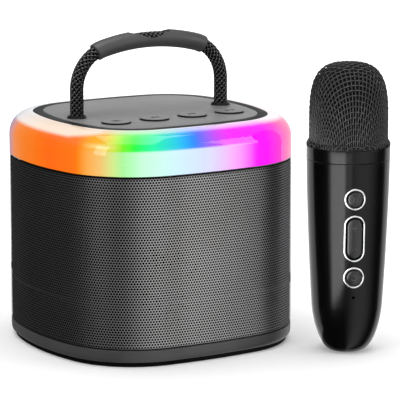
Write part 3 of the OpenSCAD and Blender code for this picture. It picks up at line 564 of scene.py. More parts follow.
def foam_finish():
    """Open-cell black foam."""
    f = Finish("windscreen_foam")
    cells = f.node(
        "ShaderNodeTexVoronoi", {"Vector": f.place(), "Scale": 1 / (0.9 * MM)}, output="Distance")
    return f.surface(
        Base_Color=f.mix(cells.ramp(0.1, 0.7), grey(0.002), grey(0.012)),
        Roughness=0.9,
        Specular_IOR_Level=0.2,
        Normal=f.bump(cells, 0.3 * MM, 0.8))


def paper_finish(name, dark, light):
    """Pressed paper pulp of a loudspeaker cone, with fine rings from the mould."""
    f = Finish(name)
    fibres = f.noise(1 / (0.5 * MM), 5.0, 0.7)
    return f.surface(
        Base_Color=f.mix(fibres.ramp(0.35, 0.7), dark, light),
        Roughness=fibres.ramp(0.3, 0.7, 0.6, 0.8),
        Normal=f.bump(fibres, 0.08 * MM, 0.6))


# Yarns of one family round the cord, and how far along it one goes before the next takes over
BRAID_YARNS, BRAID_LAY_MM = 8, 2.5
panel_satin = panel_finish()
button_satin = button_finish(span("button_mode")[1][2] - 0.12 * MM)
grille_steel = grille_finish()
band_glow = glow_finish()
band_clear = clear_finish()
braid = braid_finish()
# Painted shade: near black for the holes' walls and the strips at the grille's rims
painted_hole_shade = moulded("grille_painted_hole_shade", grey(0.02), 0.6, 0.3 * MM, 0.003 * MM)
dust_cloth = moulded(
    "dust_cloth_black", grey(0.003), 0.9, 0.4 * MM, 0.05 * MM, Specular_IOR_Level=0.1)
rubber = moulded("foot_rubber", grey(0.003), 0.8, 0.5 * MM, 0.03 * MM, Specular_IOR_Level=0.1)
base_satin = moulded("base_satin_plastic", grey(0.058, (1.0, 1.0, 1.02)), 0.42, 0.25 * MM, 0.012 * MM)
box_plastic = moulded("box_black_plastic", grey(0.003), 0.8, Specular_IOR_Level=0.15)
trim_gloss = moulded(
    "trim_satin_black", (0.008, 0.010, 0.010, 1.0), 0.5, 0.8 * MM, 0.004 * MM, Specular_IOR_Level=0.12)
grip_soft = moulded(
    "grip_soft_touch", grey(0.035, (1.0, 1.01, 1.03)), 0.5, 0.3 * MM, 0.02 * MM, Specular_IOR_Level=0.8)
eyelet_gloss = moulded(
    "eyelet_black", grey(0.006, (1.0, 1.0, 1.15)), 0.35, 0.3 * MM, 0.006 * MM, Specular_IOR_Level=0.2)
port_plastic = moulded("port_black_plastic", grey(0.012), 0.38, 0.2 * MM, 0.01 * MM)
barrel_gloss = moulded(
    "barrel_piano_black", grey(0.002), 0.19, 2.5 * MM, 0.002 * MM, coat=0.05, patch=0.1,
    Specular_IOR_Level=0.22)
collar_gloss = moulded(
    "collar_piano_black", grey(0.003), 0.2, 2.5 * MM, 0.002 * MM, coat=0.05, patch=0.1,
    Specular_IOR_Level=0.24)
key_gloss = moulded("key_black", grey(0.006), 0.22, 0.5 * MM, 0.003 * MM, coat=0.2)
key_mark = moulded("key_mark", grey(0.05), 0.4, 0.2 * MM, 0.003 * MM)
panel_mark = moulded(
    "panel_mark", grey(0.004), 0.6, 0.2 * MM, 0.003 * MM, Specular_IOR_Level=0.1)
ring_bright = metal("ring_bright_plating", grey(0.82, (1.0, 1.0, 1.01)), 0.2)
wire_steel = metal(
    "head_wire_steel", grey(0.1, (1.0, 1.0, 1.01)), 0.34, Specular_Tint=grey(0.22))
rim_steel = metal("head_rim_steel", grey(0.02), 0.45, Specular_Tint=grey(0.2))
zinc = metal("zinc_plating", grey(0.55, (1.0, 1.0, 1.03)), 0.3)
socket_steel = metal("socket_steel", grey(0.6, (1.0, 1.0, 1.02)), 0.25)
basket_steel = moulded("basket_black_paint", grey(0.006), 0.6)
magnet_ferrite = moulded("magnet_ferrite", grey(0.05, (1.0, 0.98, 0.95)), 0.6, 0.4 * MM, 0.03 * MM)
coil_copper = metal("coil_copper", (0.75, 0.33, 0.14, 1.0), 0.3, 0.3 * MM, 0.03 * MM)
spider_cloth = paper_finish("spider_cloth", (0.33, 0.18, 0.05, 1.0), (0.5, 0.3, 0.1, 1.0))
cone_paper = paper_finish("cone_paper", grey(0.012), grey(0.05))
cap_paper = paper_finish("cap_paper", grey(0.02), grey(0.06))
surround_rubber = moulded("surround_rubber", grey(0.01), 0.6)
frame_white = moulded("frame_white_plastic", grey(0.72), 0.4)
board_white = board_finish("light_board", grey(0.62))
board_green = board_finish("green_board", (0.008, 0.09, 0.03, 1.0))
lamp_lens = moulded("lamp_lens", (0.85, 0.78, 0.5, 1.0), 0.2, coat=0.6)
chip_epoxy = moulded("chip_epoxy", grey(0.014), 0.4)
switch_plastic = moulded("switch_plastic", grey(0.02), 0.45)
cell_wrap = moulded("cell_blue_wrap", (0.02, 0.12, 0.42, 1.0), 0.3, 1.0 * MM, 0.01 * MM, coat=0.4)
mic_cell_wrap = moulded("cell_green_wrap", (0.03, 0.22, 0.08, 1.0), 0.3, 1.0 * MM, 0.01 * MM, coat=0.4)
red_lead = moulded("lead_red", (0.2, 0.008, 0.008, 1.0), 0.4, 0.5 * MM, 0.02 * MM)
black_lead = moulded("lead_black", grey(0.01), 0.4, 0.5 * MM, 0.02 * MM)
brass = metal("capsule_brass", (0.72, 0.5, 0.2, 1.0), 0.28)
foam_black = foam_finish()

NODE_FINISHES = {
    "foot_ring": rubber, "base_cover": base_satin, "base_screws": zinc,
    "grille_sleeve": grille_steel, "enclosure": box_plastic,
    "enclosure_back": box_plastic, "driver_basket": basket_steel,
    "driver_magnet": magnet_ferrite, "driver_spider": spider_cloth,
    "driver_surround": surround_rubber, "driver_screws": basket_steel, "driver_cone": cone_paper,
    "dust_cap": cap_paper, "voice_coil": coil_copper, "light_band": band_clear,
    "light_frame": frame_white, "led_board": board_white, "leds": lamp_lens,
    "top_trim": trim_gloss, "top_panel": panel_satin, "panel_screws": zinc,
    "button_mode": button_satin, "button_down": button_satin, "button_up": button_satin,
    "button_play": button_satin, "socket_left": eyelet_gloss, "socket_right": eyelet_gloss,
    "cord_end_left": black_lead, "cord_end_right": black_lead, "handle_cord": black_lead,
    "handle_grip": grip_soft, "port_plate": port_plastic, "usb_c_port": socket_steel,
    "aux_jack": port_plastic, "card_slot": socket_steel, "port_board": board_green,
    "button_board": board_green, "tact_switches": switch_plastic, "main_board": board_green,
    "board_parts": chip_epoxy, "battery_holder": box_plastic, "battery_cell": cell_wrap,
    "speaker_leads": red_lead, "battery_leads": black_lead, "mic_barrel": barrel_gloss,
    "mic_collar": collar_gloss, "mic_rim": rim_steel, "mic_head": wire_steel,
    "mic_foam": foam_black, "mic_capsule": brass, "mic_capsule_cup": switch_plastic,
    "mic_key_rings": ring_bright, "mic_key_top": key_gloss, "mic_rocker": key_gloss,
    "mic_key_bottom": key_gloss, "mic_board": board_green, "mic_switches": switch_plastic,
    "mic_battery": mic_cell_wrap, "mic_usb_port": socket_steel, "mic_foot": switch_plastic,
}


def dress_nodes():
    """Gives every CAD node its finish. The lit parts inside the band stay out of the gloss of
    other pieces."""
    for name, node in frame["nodes"].items():
        node.data.materials.clear()
        node.data.materials.append(NODE_FINISHES[name])
        node.visible_glossy = name not in ("light_frame", "led_board", "leds")


# ---------------------------------------------------------------- camera, floor and light

def aim(obj, target):
    """Turns a camera or a lamp to look at a point, upright."""
    way = Vector(target) - obj.location
    obj.rotation_euler = way.to_track_quat("-Z", "Y").to_euler()


def add_camera():
    """The camera that the photograph's outlines were fitted with."""
    data = bpy.data.cameras.new("camera")
    data.sensor_width = 36.0
    data.lens = 234.42
    camera = bpy.data.objects.new("camera", data)
    camera.location = (-0.6364, -1.0933, 0.3122)
    camera.rotation_euler = (math.radians(90 - 10.93), 0.0, math.radians(-31.32))
    bpy.context.scene.collection.objects.link(camera)
    bpy.context.scene.camera = camera
    bpy.context.scene.view_settings.view_transform = "Standard"


def add_floor():
    """A plain pale floor. The camera sees it a little lighter, so that it runs into the white
    background, and it keeps the object's shadow. In the object's gloss it is the studio's."""
    f = Finish("pale_floor")
    fine = f.noise(400.0, 2.0)
    seen = f.node("ShaderNodeLightPath", output="Is Camera Ray")
    glossy = f.node("ShaderNodeLightPath", output="Is Glossy Ray")
    back = f.node("ShaderNodeNewGeometry", output="Incoming")
    way = f.node("ShaderNodeVectorMath", {0: back, "Scale": -1.0}, operation="SCALE")
    far = f.node("ShaderNodeVectorMath", {0: f.place()}, output="Value", operation="LENGTH")
    material = f.surface(
        Base_Color=f.mix(glossy, f.mix(fine, grey(0.86), grey(0.88)), grey(0.0)),
        Roughness=0.9,
        Specular_IOR_Level=0.0,
        Emission_Color=grey(1.0),
        Emission_Strength=seen * far.ramp(0.12, 0.45, FLOOR_LIFT, 0.8) + glossy * studio_gloss(f, way))
    corner = np.array([[-3, -3], [3, -3], [3, 3], [-3, 3]])
    mesh = build_mesh("floor", np.c_[corner, np.zeros(4)], np.array([[0, 1, 2, 3]]))
    piece("floor", mesh, material, None, smooth=None)


def studio_gloss(f, way):
    """What a glossy surface sees of the studio in a direction: a broad soft light in front, turned
    a little to the right, dark flags at both sides of it, white on the right, and less white
    behind. The bearing is 0 at the front and grows towards the right, in degrees."""
    turn = f.node(
        "ShaderNodeMath", {0: f.part(way, "X"), 1: f.part(way, "Y") * -1}, operation="ARCTAN2")
    bearing = turn * (180 / math.pi)
    front = bearing.ramp(*FRONT_FROM) - bearing.ramp(*FRONT_TO)
    behind = bearing.ramp(-156.0, -180.0, 0.0, 0.3)
    white = bearing.ramp(84.0, 92.0) - bearing.ramp(140.0, 165.0, 0.0, 0.7) + behind
    return FLAG_LEVEL + front * FRONT_LEVEL + white * WHITE_LEVEL


def add_world():
    """A white background behind the object and a dim room in front of it."""
    world = bpy.data.worlds.new("studio")
    world.use_nodes = True
    bpy.context.scene.world = world
    f = Finish("world_maths")
    f.tree = world.node_tree
    f.tree.nodes.clear()
    way = f.node("ShaderNodeTexCoord", output="Generated")
    behind = f.node(
        "ShaderNodeVectorMath", {0: way, 1: (0.52, 0.85, 0.1)}, output="Value",
        operation="DOT_PRODUCT").ramp(-0.1, 0.45, ROOM_FRONT, ROOM_BACK)
    seen = f.node("ShaderNodeLightPath", output="Is Camera Ray")
    clear = f.node("ShaderNodeLightPath", output="Is Transmission Ray")
    glossy = f.node("ShaderNodeLightPath", output="Is Glossy Ray")
    high = f.part(way, "Z").ramp(0.25, 0.6)
    gloss = studio_gloss(f, way) * (1 - high) + high * TOP_LEVEL
    strength = behind * (1 - glossy) + gloss * glossy
    white = (seen + clear).ramp(0.2, 0.8)
    back = f.node(
        "ShaderNodeBackground", {"Color": grey(1.0), "Strength": strength * (1 - white) + white})
    output = f.tree.nodes.new("ShaderNodeOutputWorld")
    f.tree.links.new(back.socket, output.inputs["Surface"])


def add_lamp(name, place, size, power, target=(0.0, 0.0, 0.06), gloss_only=False):
    """A soft rectangular lamp, size wide and high. Where gloss_only is true it doesn't light what
    it shines on, and shows only in gloss."""
    data = bpy.data.lights.new(name, "AREA")
    data.shape = "RECTANGLE"
    data.size, data.size_y = size
    data.energy = power
    lamp = bpy.data.objects.new(name, data)
    lamp.location = place
    lamp.visible_diffuse = not gloss_only
    lamp.visible_camera = not gloss_only
    aim(lamp, target)
    bpy.context.scene.collection.objects.link(lamp)


FLOOR_LIFT = 0.22
ROOM_FRONT, ROOM_BACK = 0.15, 1.0
FRONT_FROM, FRONT_TO = (-46.0, 2.0), (14.0, 66.0)
FLAG_LEVEL, FRONT_LEVEL, WHITE_LEVEL, TOP_LEVEL = 0.03, 1.15, 0.95, 0.45
# Strip lights beside the microphone, just in front of the speaker, which the barrel's gloss shows:
# name, middle, width and height, power, and the way each one faces
BARREL_LAMPS = (
    ("barrel_light", (-0.02, -0.1345, 0.048), (0.079, 0.096), 0.17, (1.0, 0.0, 0.0)),
    ("barrel_fill", (-0.02, -0.1775, 0.048), (0.185, 0.096), 0.077, (1.0, 0.0, 0.0)),
    ("barrel_rim", (0.051, -0.0632, 0.056), (0.026, 0.112), 0.0105, (0.0, -1.0, 0.0)),
)


def light_studio():
    """The world, the floor, three soft lamps round the object and the barrel's strip lights."""
    add_world()
    add_floor()
    add_lamp("overhead", (-0.1, -0.15, 1.1), (1.0, 1.0), 8.0)
    add_lamp("left_soft", (-1.1, -0.35, 0.45), (0.35, 0.8), 3.0, (0.0, 0.0, 0.07))
    add_lamp("right_soft", (0.9, -0.9, 0.6), (0.5, 0.7), 3.0)
    for name, place, size, power, way in BARREL_LAMPS:
        add_lamp(name, place, size, power, np.add(place, way), gloss_only=True)


# ---------------------------------------------------------------- speaker: grille and base

PITCH, ROW_STEP = 1.4 * MM, 1.236 * MM
HOLE_R, HOLE_SIDES = 0.57 * MM, 8
SLEEVE_T = 0.5 * MM
SLEEVE_EDGE = 0.2 * MM


def zipped(inner, outer):
    """Triangles between two rings of corners about one centre, given as angles in order."""
    tris, i, o = [], 0, 0
    n, m = len(inner), len(outer)
    while i < n or o < m:
        next_in = inner[(i + 1) % n] + TURN * ((i + 1) // n)
        next_out = outer[(o + 1) % m] + TURN * ((o + 1) // m)
        if o == m or (i < n and next_in < next_out):
            tris.append((i % n, n + o % m, (i + 1) % n))
            i += 1
        else:
            tris.append((i % n, n + o % m, n + (o + 1) % m))
            o += 1
    return np.array(tris)


def window_push(flat):
    """How deep each (run, height) lies in the sockets' window, and its place moved out to the
    window's edge: the window is a bar with round ends."""
    r = port_half_h + 0.1 * MM
    half = port_half_w - port_half_h
    middle = np.array([plan.back, port_z])
    near = flat - middle
    axis = np.stack([np.clip(near[..., 0], -half, half), np.zeros(near.shape[:-1])], -1)
    away = near - axis
    reach = np.linalg.norm(away, axis=-1, keepdims=True)
    moved = middle + axis + away * np.maximum(1, r / np.maximum(reach, 1e-9))
    return (r - reach[..., 0]), moved


def grille_quarter(name, first, last, columns, rows):
    """Perforated steel between two columns of holes. Each cell is a hexagon of the lattice with a
    round hole of HOLE_SIDES sides; cells at the sockets' window have no hole and end on the
    window's edge."""
    pitch = plan.length / columns
    low = sleeve_low[2]
    height = sleeve_high[2] - low
    edge = (height - rows * ROW_STEP) / 2
    j, i = np.mgrid[0:rows, first:last]
    centre = np.stack([(i + 0.5 * (j % 2)) * pitch, low + edge + (j + 0.5) * ROW_STEP], -1)
    centre = centre.reshape(-1, 1, 2)
    hexagon = np.array([[3, -1], [3, 1], [0, 2], [-3, 1], [-3, -1], [0, -2]])
    hexagon = hexagon * np.array([pitch / 6, ROW_STEP / 3])
    turn = (np.arange(HOLE_SIDES) + 0.5) / HOLE_SIDES * TURN
    hole = HOLE_R * np.stack([np.cos(turn), np.sin(turn)], -1)
    depth, corners = window_push(centre + hexagon)
    punched = (depth < 0).all(1)
    plain = ~punched & (depth < 0).any(1)
    cells = np.concatenate([centre + hole, centre + hexagon], 1)[punched]
    n = len(cells)
    walls = np.c_[cells[:, :HOLE_SIDES].reshape(-1, 2), np.full(n * HOLE_SIDES, SLEEVE_T)]
    front = np.c_[cells.reshape(-1, 2), np.zeros(n * cells.shape[1])]
    bare = np.c_[corners[plain].reshape(-1, 2), np.zeros(plain.sum() * 6)]
    outer_turn = np.arctan2(hexagon[:, 1], hexagon[:, 0])
    order = np.argsort(np.mod(outer_turn, TURN))
    ring_tris = zipped(turn, np.mod(outer_turn, TURN)[order])
    per = cells.shape[1]
    corner_of = np.concatenate([np.arange(HOLE_SIDES), HOLE_SIDES + order])
    tris = (corner_of[ring_tris][None] + np.arange(n)[:, None, None] * per).reshape(-1, 3)
    k = np.arange(HOLE_SIDES)
    wall = np.stack([k, (k + 1) % HOLE_SIDES], -1)
    quads = np.concatenate([
        wall[None] + np.arange(n)[:, None, None] * per,
        (wall[:, ::-1][None] + np.arange(n)[:, None, None] * HOLE_SIDES) + len(front)], -1)
    hexes = np.arange(plain.sum() * 6).reshape(-1, 6) + len(front) + len(walls)
    strips, strip_quads, start = [], [], len(front) + len(walls) + len(bare)
    across = np.arange(2 * first, 2 * last + 1)
    for row, sign in ((0, -1), (rows - 1, 1)):
        shift = 0.5 * (row % 2)
        zig = low + edge + (row + 0.5) * ROW_STEP + sign * ROW_STEP * np.where(across % 2, 1 / 3, 2 / 3)
        run = (across / 2 + shift) * pitch
        rim = low if sign < 0 else sleeve_high[2]
        lines = [(zig, 0.0), (np.full(len(run), rim - sign * SLEEVE_EDGE), 0.0),
                 (np.full(len(run), rim), SLEEVE_EDGE), (np.full(len(run), rim), SLEEVE_T)]
        strips += [np.stack([run, z, np.full(len(run), inset)], -1) for z, inset in lines]
        found = grid_faces(4, len(run), wrap_columns=False) + start
        strip_quads.append(found if sign > 0 else found[:, ::-1])
        start += 4 * len(run)
    flat = np.concatenate([front, walls, bare, *strips])
    points = np.c_[plan.at(flat[:, 0], flat[:, 2]), flat[:, 1]]
    _, kept, which = np.unique(
        np.round(np.c_[np.mod(points, 10), flat[:, 2:]] / 1e-7).astype(np.int64),
        axis=0, return_index=True, return_inverse=True)
    which = which.ravel()
    # A fault that is left: quads holds the walls as (cells, sides, 4), where build_mesh wants
    # (faces, 4), so its check drops the walls of all but a few holes, and the strips at the rims
    return build_mesh(
        name, points[kept], which[tris], which[hexes], which[quads],
        which[np.concatenate(strip_quads)], painted=len(quads) + 2 * len(strip_quads[0]))


def make_grille():
    """The perforated sleeve in four pieces. Gloss, its own and the barrel's, doesn't show it."""
    columns = round(plan.length / PITCH)
    rows = int((sleeve_high[2] - sleeve_low[2] - 1.2 * MM) / ROW_STEP)
    cuts = np.linspace(0, columns, 5).astype(int)
    names = ("grille_right", "grille_back", "grille_left", "grille_front")
    for k, name in enumerate(names):
        mesh = grille_quarter(name, cuts[k], cuts[k + 1], columns, rows)
        # The second material is painted shade for the holes' walls and the rims' strips
        made = piece(
            name, mesh, [grille_steel, painted_hole_shade], "root", ("grille_sleeve",) if k == 3 else (),
            smooth=None)
        made.visible_glossy = False


def make_backing():
    """Black dust cloth stretched behind the perforated steel, all round but for the sockets."""
    gap, margin = port_half_w + 3 * MM, 0.4 * MM
    run = np.linspace(plan.back + gap, plan.back - gap + plan.length, 480)
    low, high = sleeve_low[2] + margin, sleeve_high[2] - margin
    near, far = SLEEVE_T + 0.02 * MM, SLEEVE_T + 0.12 * MM
    corners = [(near, low), (far, low), (far, high), (near, high)]
    points = np.stack([np.c_[plan.at(run, inset), np.full(len(run), z)] for inset, z in corners])
    ends = np.array([np.arange(4) * len(run), np.arange(4)[::-1] * len(run) + len(run) - 1])
    faces = grid_faces(4, len(run), True, False)
    mesh = build_mesh("grille_cloth", points.reshape(-1, 3), faces, ends)
    tidy_mesh(mesh)
    piece("grille_cloth", mesh, dust_cloth, "root")


def make_base():
    """The base cover's ring and underside, and the rubber ring that it stands on."""
    low, high = cover_low[2], cover_high[2]
    ring = rounded(
        [(0, low), (0, high), (base_wall, high), (base_wall, low)],
        [base_edge_r * 1.6, 0.25 * MM, 0.25 * MM, 0], 8)
    screw_r, well_r = 2.8 * MM, 3.1 * MM
    post = span("base_screws")[1][:2] - screw_r
    holes = [
        lambda d, x=sx * post[0], y=sy * post[1]: circle(x, y, well_r + d, 40)
        for sx in (-1, 1) for sy in (-1, 1)]
    run = np.arange(240) / 240 * plan.length
    loops = [lambda d: plan.at(run, base_wall - 0.5 * MM + d), *holes]
    under = plate("under", loops, low + 0.01 * MM, low + 2.5 * MM, 0.2 * MM)
    mesh = joined("base_cover_shell", [round_plan("ring", ring), under])
    piece("base_cover_shell", mesh, base_satin, "root", ("base_cover",))
    near, far = 2 * MM, 7.2 * MM
    foot = rounded(
        [(near, foot_low[2]), (near, foot_high[2]), (far, foot_high[2]), (far, foot_low[2])],
        [0.7 * MM, 0, 0, 0.7 * MM])
    piece("foot_rubber_ring", round_plan("foot_rubber_ring", foot), rubber, "root", ("foot_ring",))


# ---------------------------------------------------------------- speaker: lit shoulder

# Colours of the lights round the band, by the bearing from the middle in degrees
GLOW = [
    (-180, "ff7600"), (-168, "ff6a00"), (-152, "ff7400"), (-146, "ffa000"), (-140, "f4b400"),
    (-135, "c8e000"), (-131, "70f000"), (-126.5, "00ff30"), (-120, "00f89a"), (-115, "00e4c4"),
    (-109, "00cce4"), (-103, "00a0ff"), (-99.5, "1c84ff"), (-96, "6468ff"), (-92, "9a58ff"),
    (-86, "d838f4"), (-79, "ff00ff"), (-62, "ff00fa"), (-56, "ff38e4"), (-47, "ff5cae"),
    (-20, "ff4a78"), (20, "ff3828"), (60, "ff7a00"), (90, "e8d800"), (115, "30e850"),
    (135, "10a8ff"), (158, "ff8a28"), (180, "ff7a10"),
]
# Painted reflection of a soft light over the lower half in front: how much paler it is, by the same
# bearing
LOWER_REFLECTION = [(-180, 0.0), (-150, 0.0), (-140, 0.16), (-131, 0.34), (-124, 0.6), (-100, 0.7),
         (-92, 0.66), (-84, 0.5), (-76, 0.3), (-68, 0.0), (180, 0.0)]
LOWER_REFLECTION_TOP = 11.7 * MM
# A painted reflection of a light, a pale yellow spot: its bearing and half its width in degrees, its
# height over the band's foot and half its own height
REFLECTED_SPOT = (-140, 9, 13.4 * MM, 1.6 * MM)


def screen(code):
    """The linear colour of a six-figure screen colour, as an array."""
    return np.array(rgb(code)[:3])


def toward(colours, goal, share):
    """Each colour moved towards a goal by its own share."""
    return colours + (goal - colours) * share[:, None]


def glow_and_reflection_colours(points):
    """The lit colour of each point of the band: by its bearing between the colours of GLOW, with a painted
    reflection of a soft light that makes the lower half paler in front, a painted reflection of one light
    as a spot, and a painted highlight on the shoulder."""
    bearing = np.degrees(np.arctan2(points[:, 1], points[:, 0]))
    stops = np.array([a for a, _ in GLOW], float)
    colours = np.array([screen(c) for _, c in GLOW])
    lit = np.stack([np.interp(bearing, stops, colours[:, k]) for k in range(3)], -1)
    high = points[:, 2] - band_low[2]
    # Painted reflection of a soft light: the lower half in front goes pale
    below = np.clip((LOWER_REFLECTION_TOP - high) / (0.35 * MM), 0, 1)
    frost_and_reflection = below * np.interp(bearing, *np.array(LOWER_REFLECTION, float).T)
    lit = toward(lit, screen("f4ffff"), frost_and_reflection)
    # Painted reflection of a light, as a pale yellow spot
    beside = np.clip(1 - np.abs(bearing - REFLECTED_SPOT[0]) / REFLECTED_SPOT[1], 0, 1)
    level = np.clip(1 - np.abs(high - REFLECTED_SPOT[2]) / REFLECTED_SPOT[3], 0, 1)
    lit = toward(lit, screen("f8f0a8"), 0.8 * (beside * level))
    # Painted highlight along the top of the shoulder, coming lower in front: cream on the left, white
    # elsewhere
    front = np.interp(
        bearing, [-180, -158, -140, -60, -30, 150, 180], [0.0, 0.0, 1.0, 1.0, 0.4, 0.0, 0.0])
    start = (band_high[2] - band_low[2]) * (0.74 + 0.115 * front)
    pale = np.clip((high - start) / (1.2 * MM), 0, 1)
    left = np.interp(bearing, [-180, -150, -125, 150, 180], [1.0, 1.0, 0.0, 0.0, 1.0])[:, None]
    lit = toward(lit, screen("fff0dc") * left + screen("ffffff") * (1 - left), pale * 0.9)
    return np.c_[lit, np.ones(len(lit))]


def make_band():
    """The clear shell over the lights. Its profile goes up the wall, round the shoulder and in to
    the trim, and comes back a wall's thickness inside, where the face is frosted and lit."""
    low, top = band_low[2], band_high[2]
    opening = trim_inset - 0.1 * MM
    turn = np.linspace(0, np.pi / 2, 17)

    def side(inset):
        arc = np.stack([
            shoulder_r - (shoulder_r - inset) * np.cos(turn),
            top - shoulder_r + (shoulder_r - inset) * np.sin(turn)], -1)
        wall = np.linspace(low, top - shoulder_r, 17)[:-1]
        return np.concatenate([
            np.stack([np.full(16, inset), wall], -1), arc, [[opening, top - inset]]])

    mesh = round_plan("lit_band", np.concatenate([side(0.0), side(band_wall)[::-1]]))
    made = piece("lit_band", mesh, [band_clear, band_glow], "root", ("light_band",))
    made.visible_glossy = False
    points = np.array([v.co for v in mesh.vertices])
    # The band's colour attribute holds the lights' colours with the painted reflections and the painted
    # highlight
    glow_and_reflection = mesh.color_attributes.new("glow_and_reflection", "FLOAT_COLOR", "POINT")
    glow_and_reflection.data.foreach_set("color", glow_and_reflection_colours(points).ravel().astype(np.float32))
    middle = np.array([p.center for p in mesh.polygons])
    normal = np.array([p.normal for p in mesh.polygons])
    centre = middle * [0.72, 0.72, 0] + [0, 0, top - shoulder_r - 6 * MM]
    frosted = (((middle - centre) * normal).sum(1) < 0) & (middle[:, 2] > low + 1e-5)
    mesh.polygons.foreach_set("material_index", frosted.astype(np.int32))


def make_trim():
    """The dark ring between the band and the panel."""
    top = panel_top - 0.15 * MM
    ring = rounded([
        (trim_inset, trim_z), (trim_inset, top),
        (trim_inset + trim_w, top), (trim_inset + trim_w, trim_z)],
        [0, 0.5 * MM, 0.5 * MM, 0])
    piece("trim_ring", round_plan("trim_ring", ring), trim_gloss, "root", ("top_trim",))


BUTTONS = ("button_mode", "button_down", "button_up", "button_play")


def make_panel():
    """The control panel with its six holes."""
    bores = []
    for name in BUTTONS:
        low, high = span(name)
        bores.append(((low + high)[:2] / 2, BUTTON_R + button_hole_gap))
    for side in (-1, 1):
        bores.append((np.array([side * handle_half, 0]), EYELET_NECK_R + 0.1 * MM))
    loops = [lambda d: plan.at(np.arange(360) / 360 * plan.length, panel_inset + d)]
    loops += [lambda d, c=c, r=r: circle(*c, r + d, 72) for c, r in bores]
    mesh = plate("control_panel", loops, panel_top - panel_t, panel_top, 0.3 * MM)
    piece("control_panel", mesh, panel_satin, "root", ("top_panel",))


def marks_mesh(name, shapes, lift):
    """Flat marks as thin plates: each shape is a list of loops, and lift puts (x, y, height)
    in place."""
    whole = joined(name, [
        plate(name, [lambda d, l=l: l for l in loops], 0.0, 0.05 * MM, 0.0, 1) for loops in shapes])
    co = np.array([v.co for v in whole.vertices])
    whole.vertices.foreach_set("co", lift(co).astype(np.float32).ravel())
    whole.update()
    return whole


def bar(x, y, w, h):
    """A rectangle's loop about its middle."""
    return np.array([[x - w, y - h], [x + w, y - h], [x + w, y + h], [x - w, y + h]]) * MM


def wedge(x, y, size, way=1):
    """A triangle's loop that points along X."""
    back = x - way * size * 0.6
    return np.array([[back, y - size], [x + way * size, y], [back, y + size]][::way]) * MM


BUTTON_MARKS = {
    "button_mode": [[bar(0, 1.4, 2.0, 0.38)], [bar(0, 0, 2.0, 0.38)], [bar(0, -1.4, 2.0, 0.38)]],
    "button_down": [[wedge(-0.9, 0, 1.5, -1)], [wedge(1.4, 0, 1.5, -1)]],
    "button_up": [[wedge(-1.4, 0, 1.5)], [wedge(0.9, 0, 1.5)]],
    "button_play": [[wedge(-1.1, 0, 1.6)], [bar(1.3, 0, 0.32, 1.55)], [bar(2.4, 0, 0.32, 1.55)]],
}


def make_buttons():
    """Four round keys: a low crown, a rounded edge, an upright side and a flange below."""
    for name in BUTTONS:
        low, high = span(name)
        x, y = (low + high)[:2] / 2
        crown = 0.1 * MM
        dome = (BUTTON_R ** 2 + crown ** 2) / (2 * crown)
        reach = np.linspace(0, BUTTON_R - 0.35 * MM, 10)
        top = high[2] - dome + np.sqrt(dome ** 2 - reach ** 2)
        flange_top = low[2] + 1.2 * MM
        side = rounded(
            [(reach[-1], top[-1]), (BUTTON_R, top[-1] - 0.04 * MM), (BUTTON_R, flange_top),
             (BUTTON_R + 1.2 * MM, flange_top), (BUTTON_R + 1.2 * MM, low[2]), (0, low[2])],
            [0, 0.14 * MM, 0.2 * MM, 0.1 * MM, 0.1 * MM, 0], closed=False)
        profile = np.concatenate([np.stack([reach, top], -1), side])
        key = lathe(name, profile, (x, y), closed=False)
        piece(name + "_key", key, button_satin, name, (name,), 50)

        def lift(co, x=x, y=y, high=high, dome=dome):
            sag = dome - np.sqrt(dome ** 2 - co[:, 0] ** 2 - co[:, 1] ** 2)
            place = np.full(len(co), x), np.full(len(co), y), high[2] - sag - 0.03 * MM
            return co + np.stack(place, -1)

        mark = marks_mesh(name + "_mark", BUTTON_MARKS[name], lift)
        piece(name + "_mark", mark, panel_mark, name, (), 30)


# ---------------------------------------------------------------- speaker: handle

def handle_path(step):
    """The cord's middle line: up out of the left eyelet, over two shoulders and a crown, and down
    into the right one, as points a step apart."""
    shoulder, crown, bend_z = handle_shoulder_r, handle_crown_r, handle_bend_z
    shoulder_x = handle_half - shoulder
    crown_z = bend_z - math.sqrt((crown - shoulder) ** 2 - shoulder_x ** 2)
    turn = math.asin(shoulder_x / (crown - shoulder))
    start_z = panel_top - 3.5 * MM
    leg = np.stack([np.full(40, -handle_half), np.linspace(start_z, bend_z, 40)], -1)[:-1]
    a = np.linspace(0, np.pi / 2 - turn, 60)
    bend = np.stack([-shoulder_x - shoulder * np.cos(a), bend_z + shoulder * np.sin(a)], -1)
    b = np.linspace(-turn, turn, 80)[1:-1]
    over = np.stack([crown * np.sin(b), crown_z + crown * np.cos(b)], -1)
    half = np.concatenate([leg, bend])
    flat = np.concatenate([half, over, (half * [-1, 1])[::-1]])
    length = np.concatenate([[0], np.cumsum(np.linalg.norm(np.diff(flat, axis=0), axis=1))])
    even = np.linspace(0, length[-1], int(length[-1] / step) + 1)
    x, z = (np.interp(even, length, flat[:, k]) for k in (0, 1))
    return np.stack([x, np.zeros(len(x)), z], -1), even


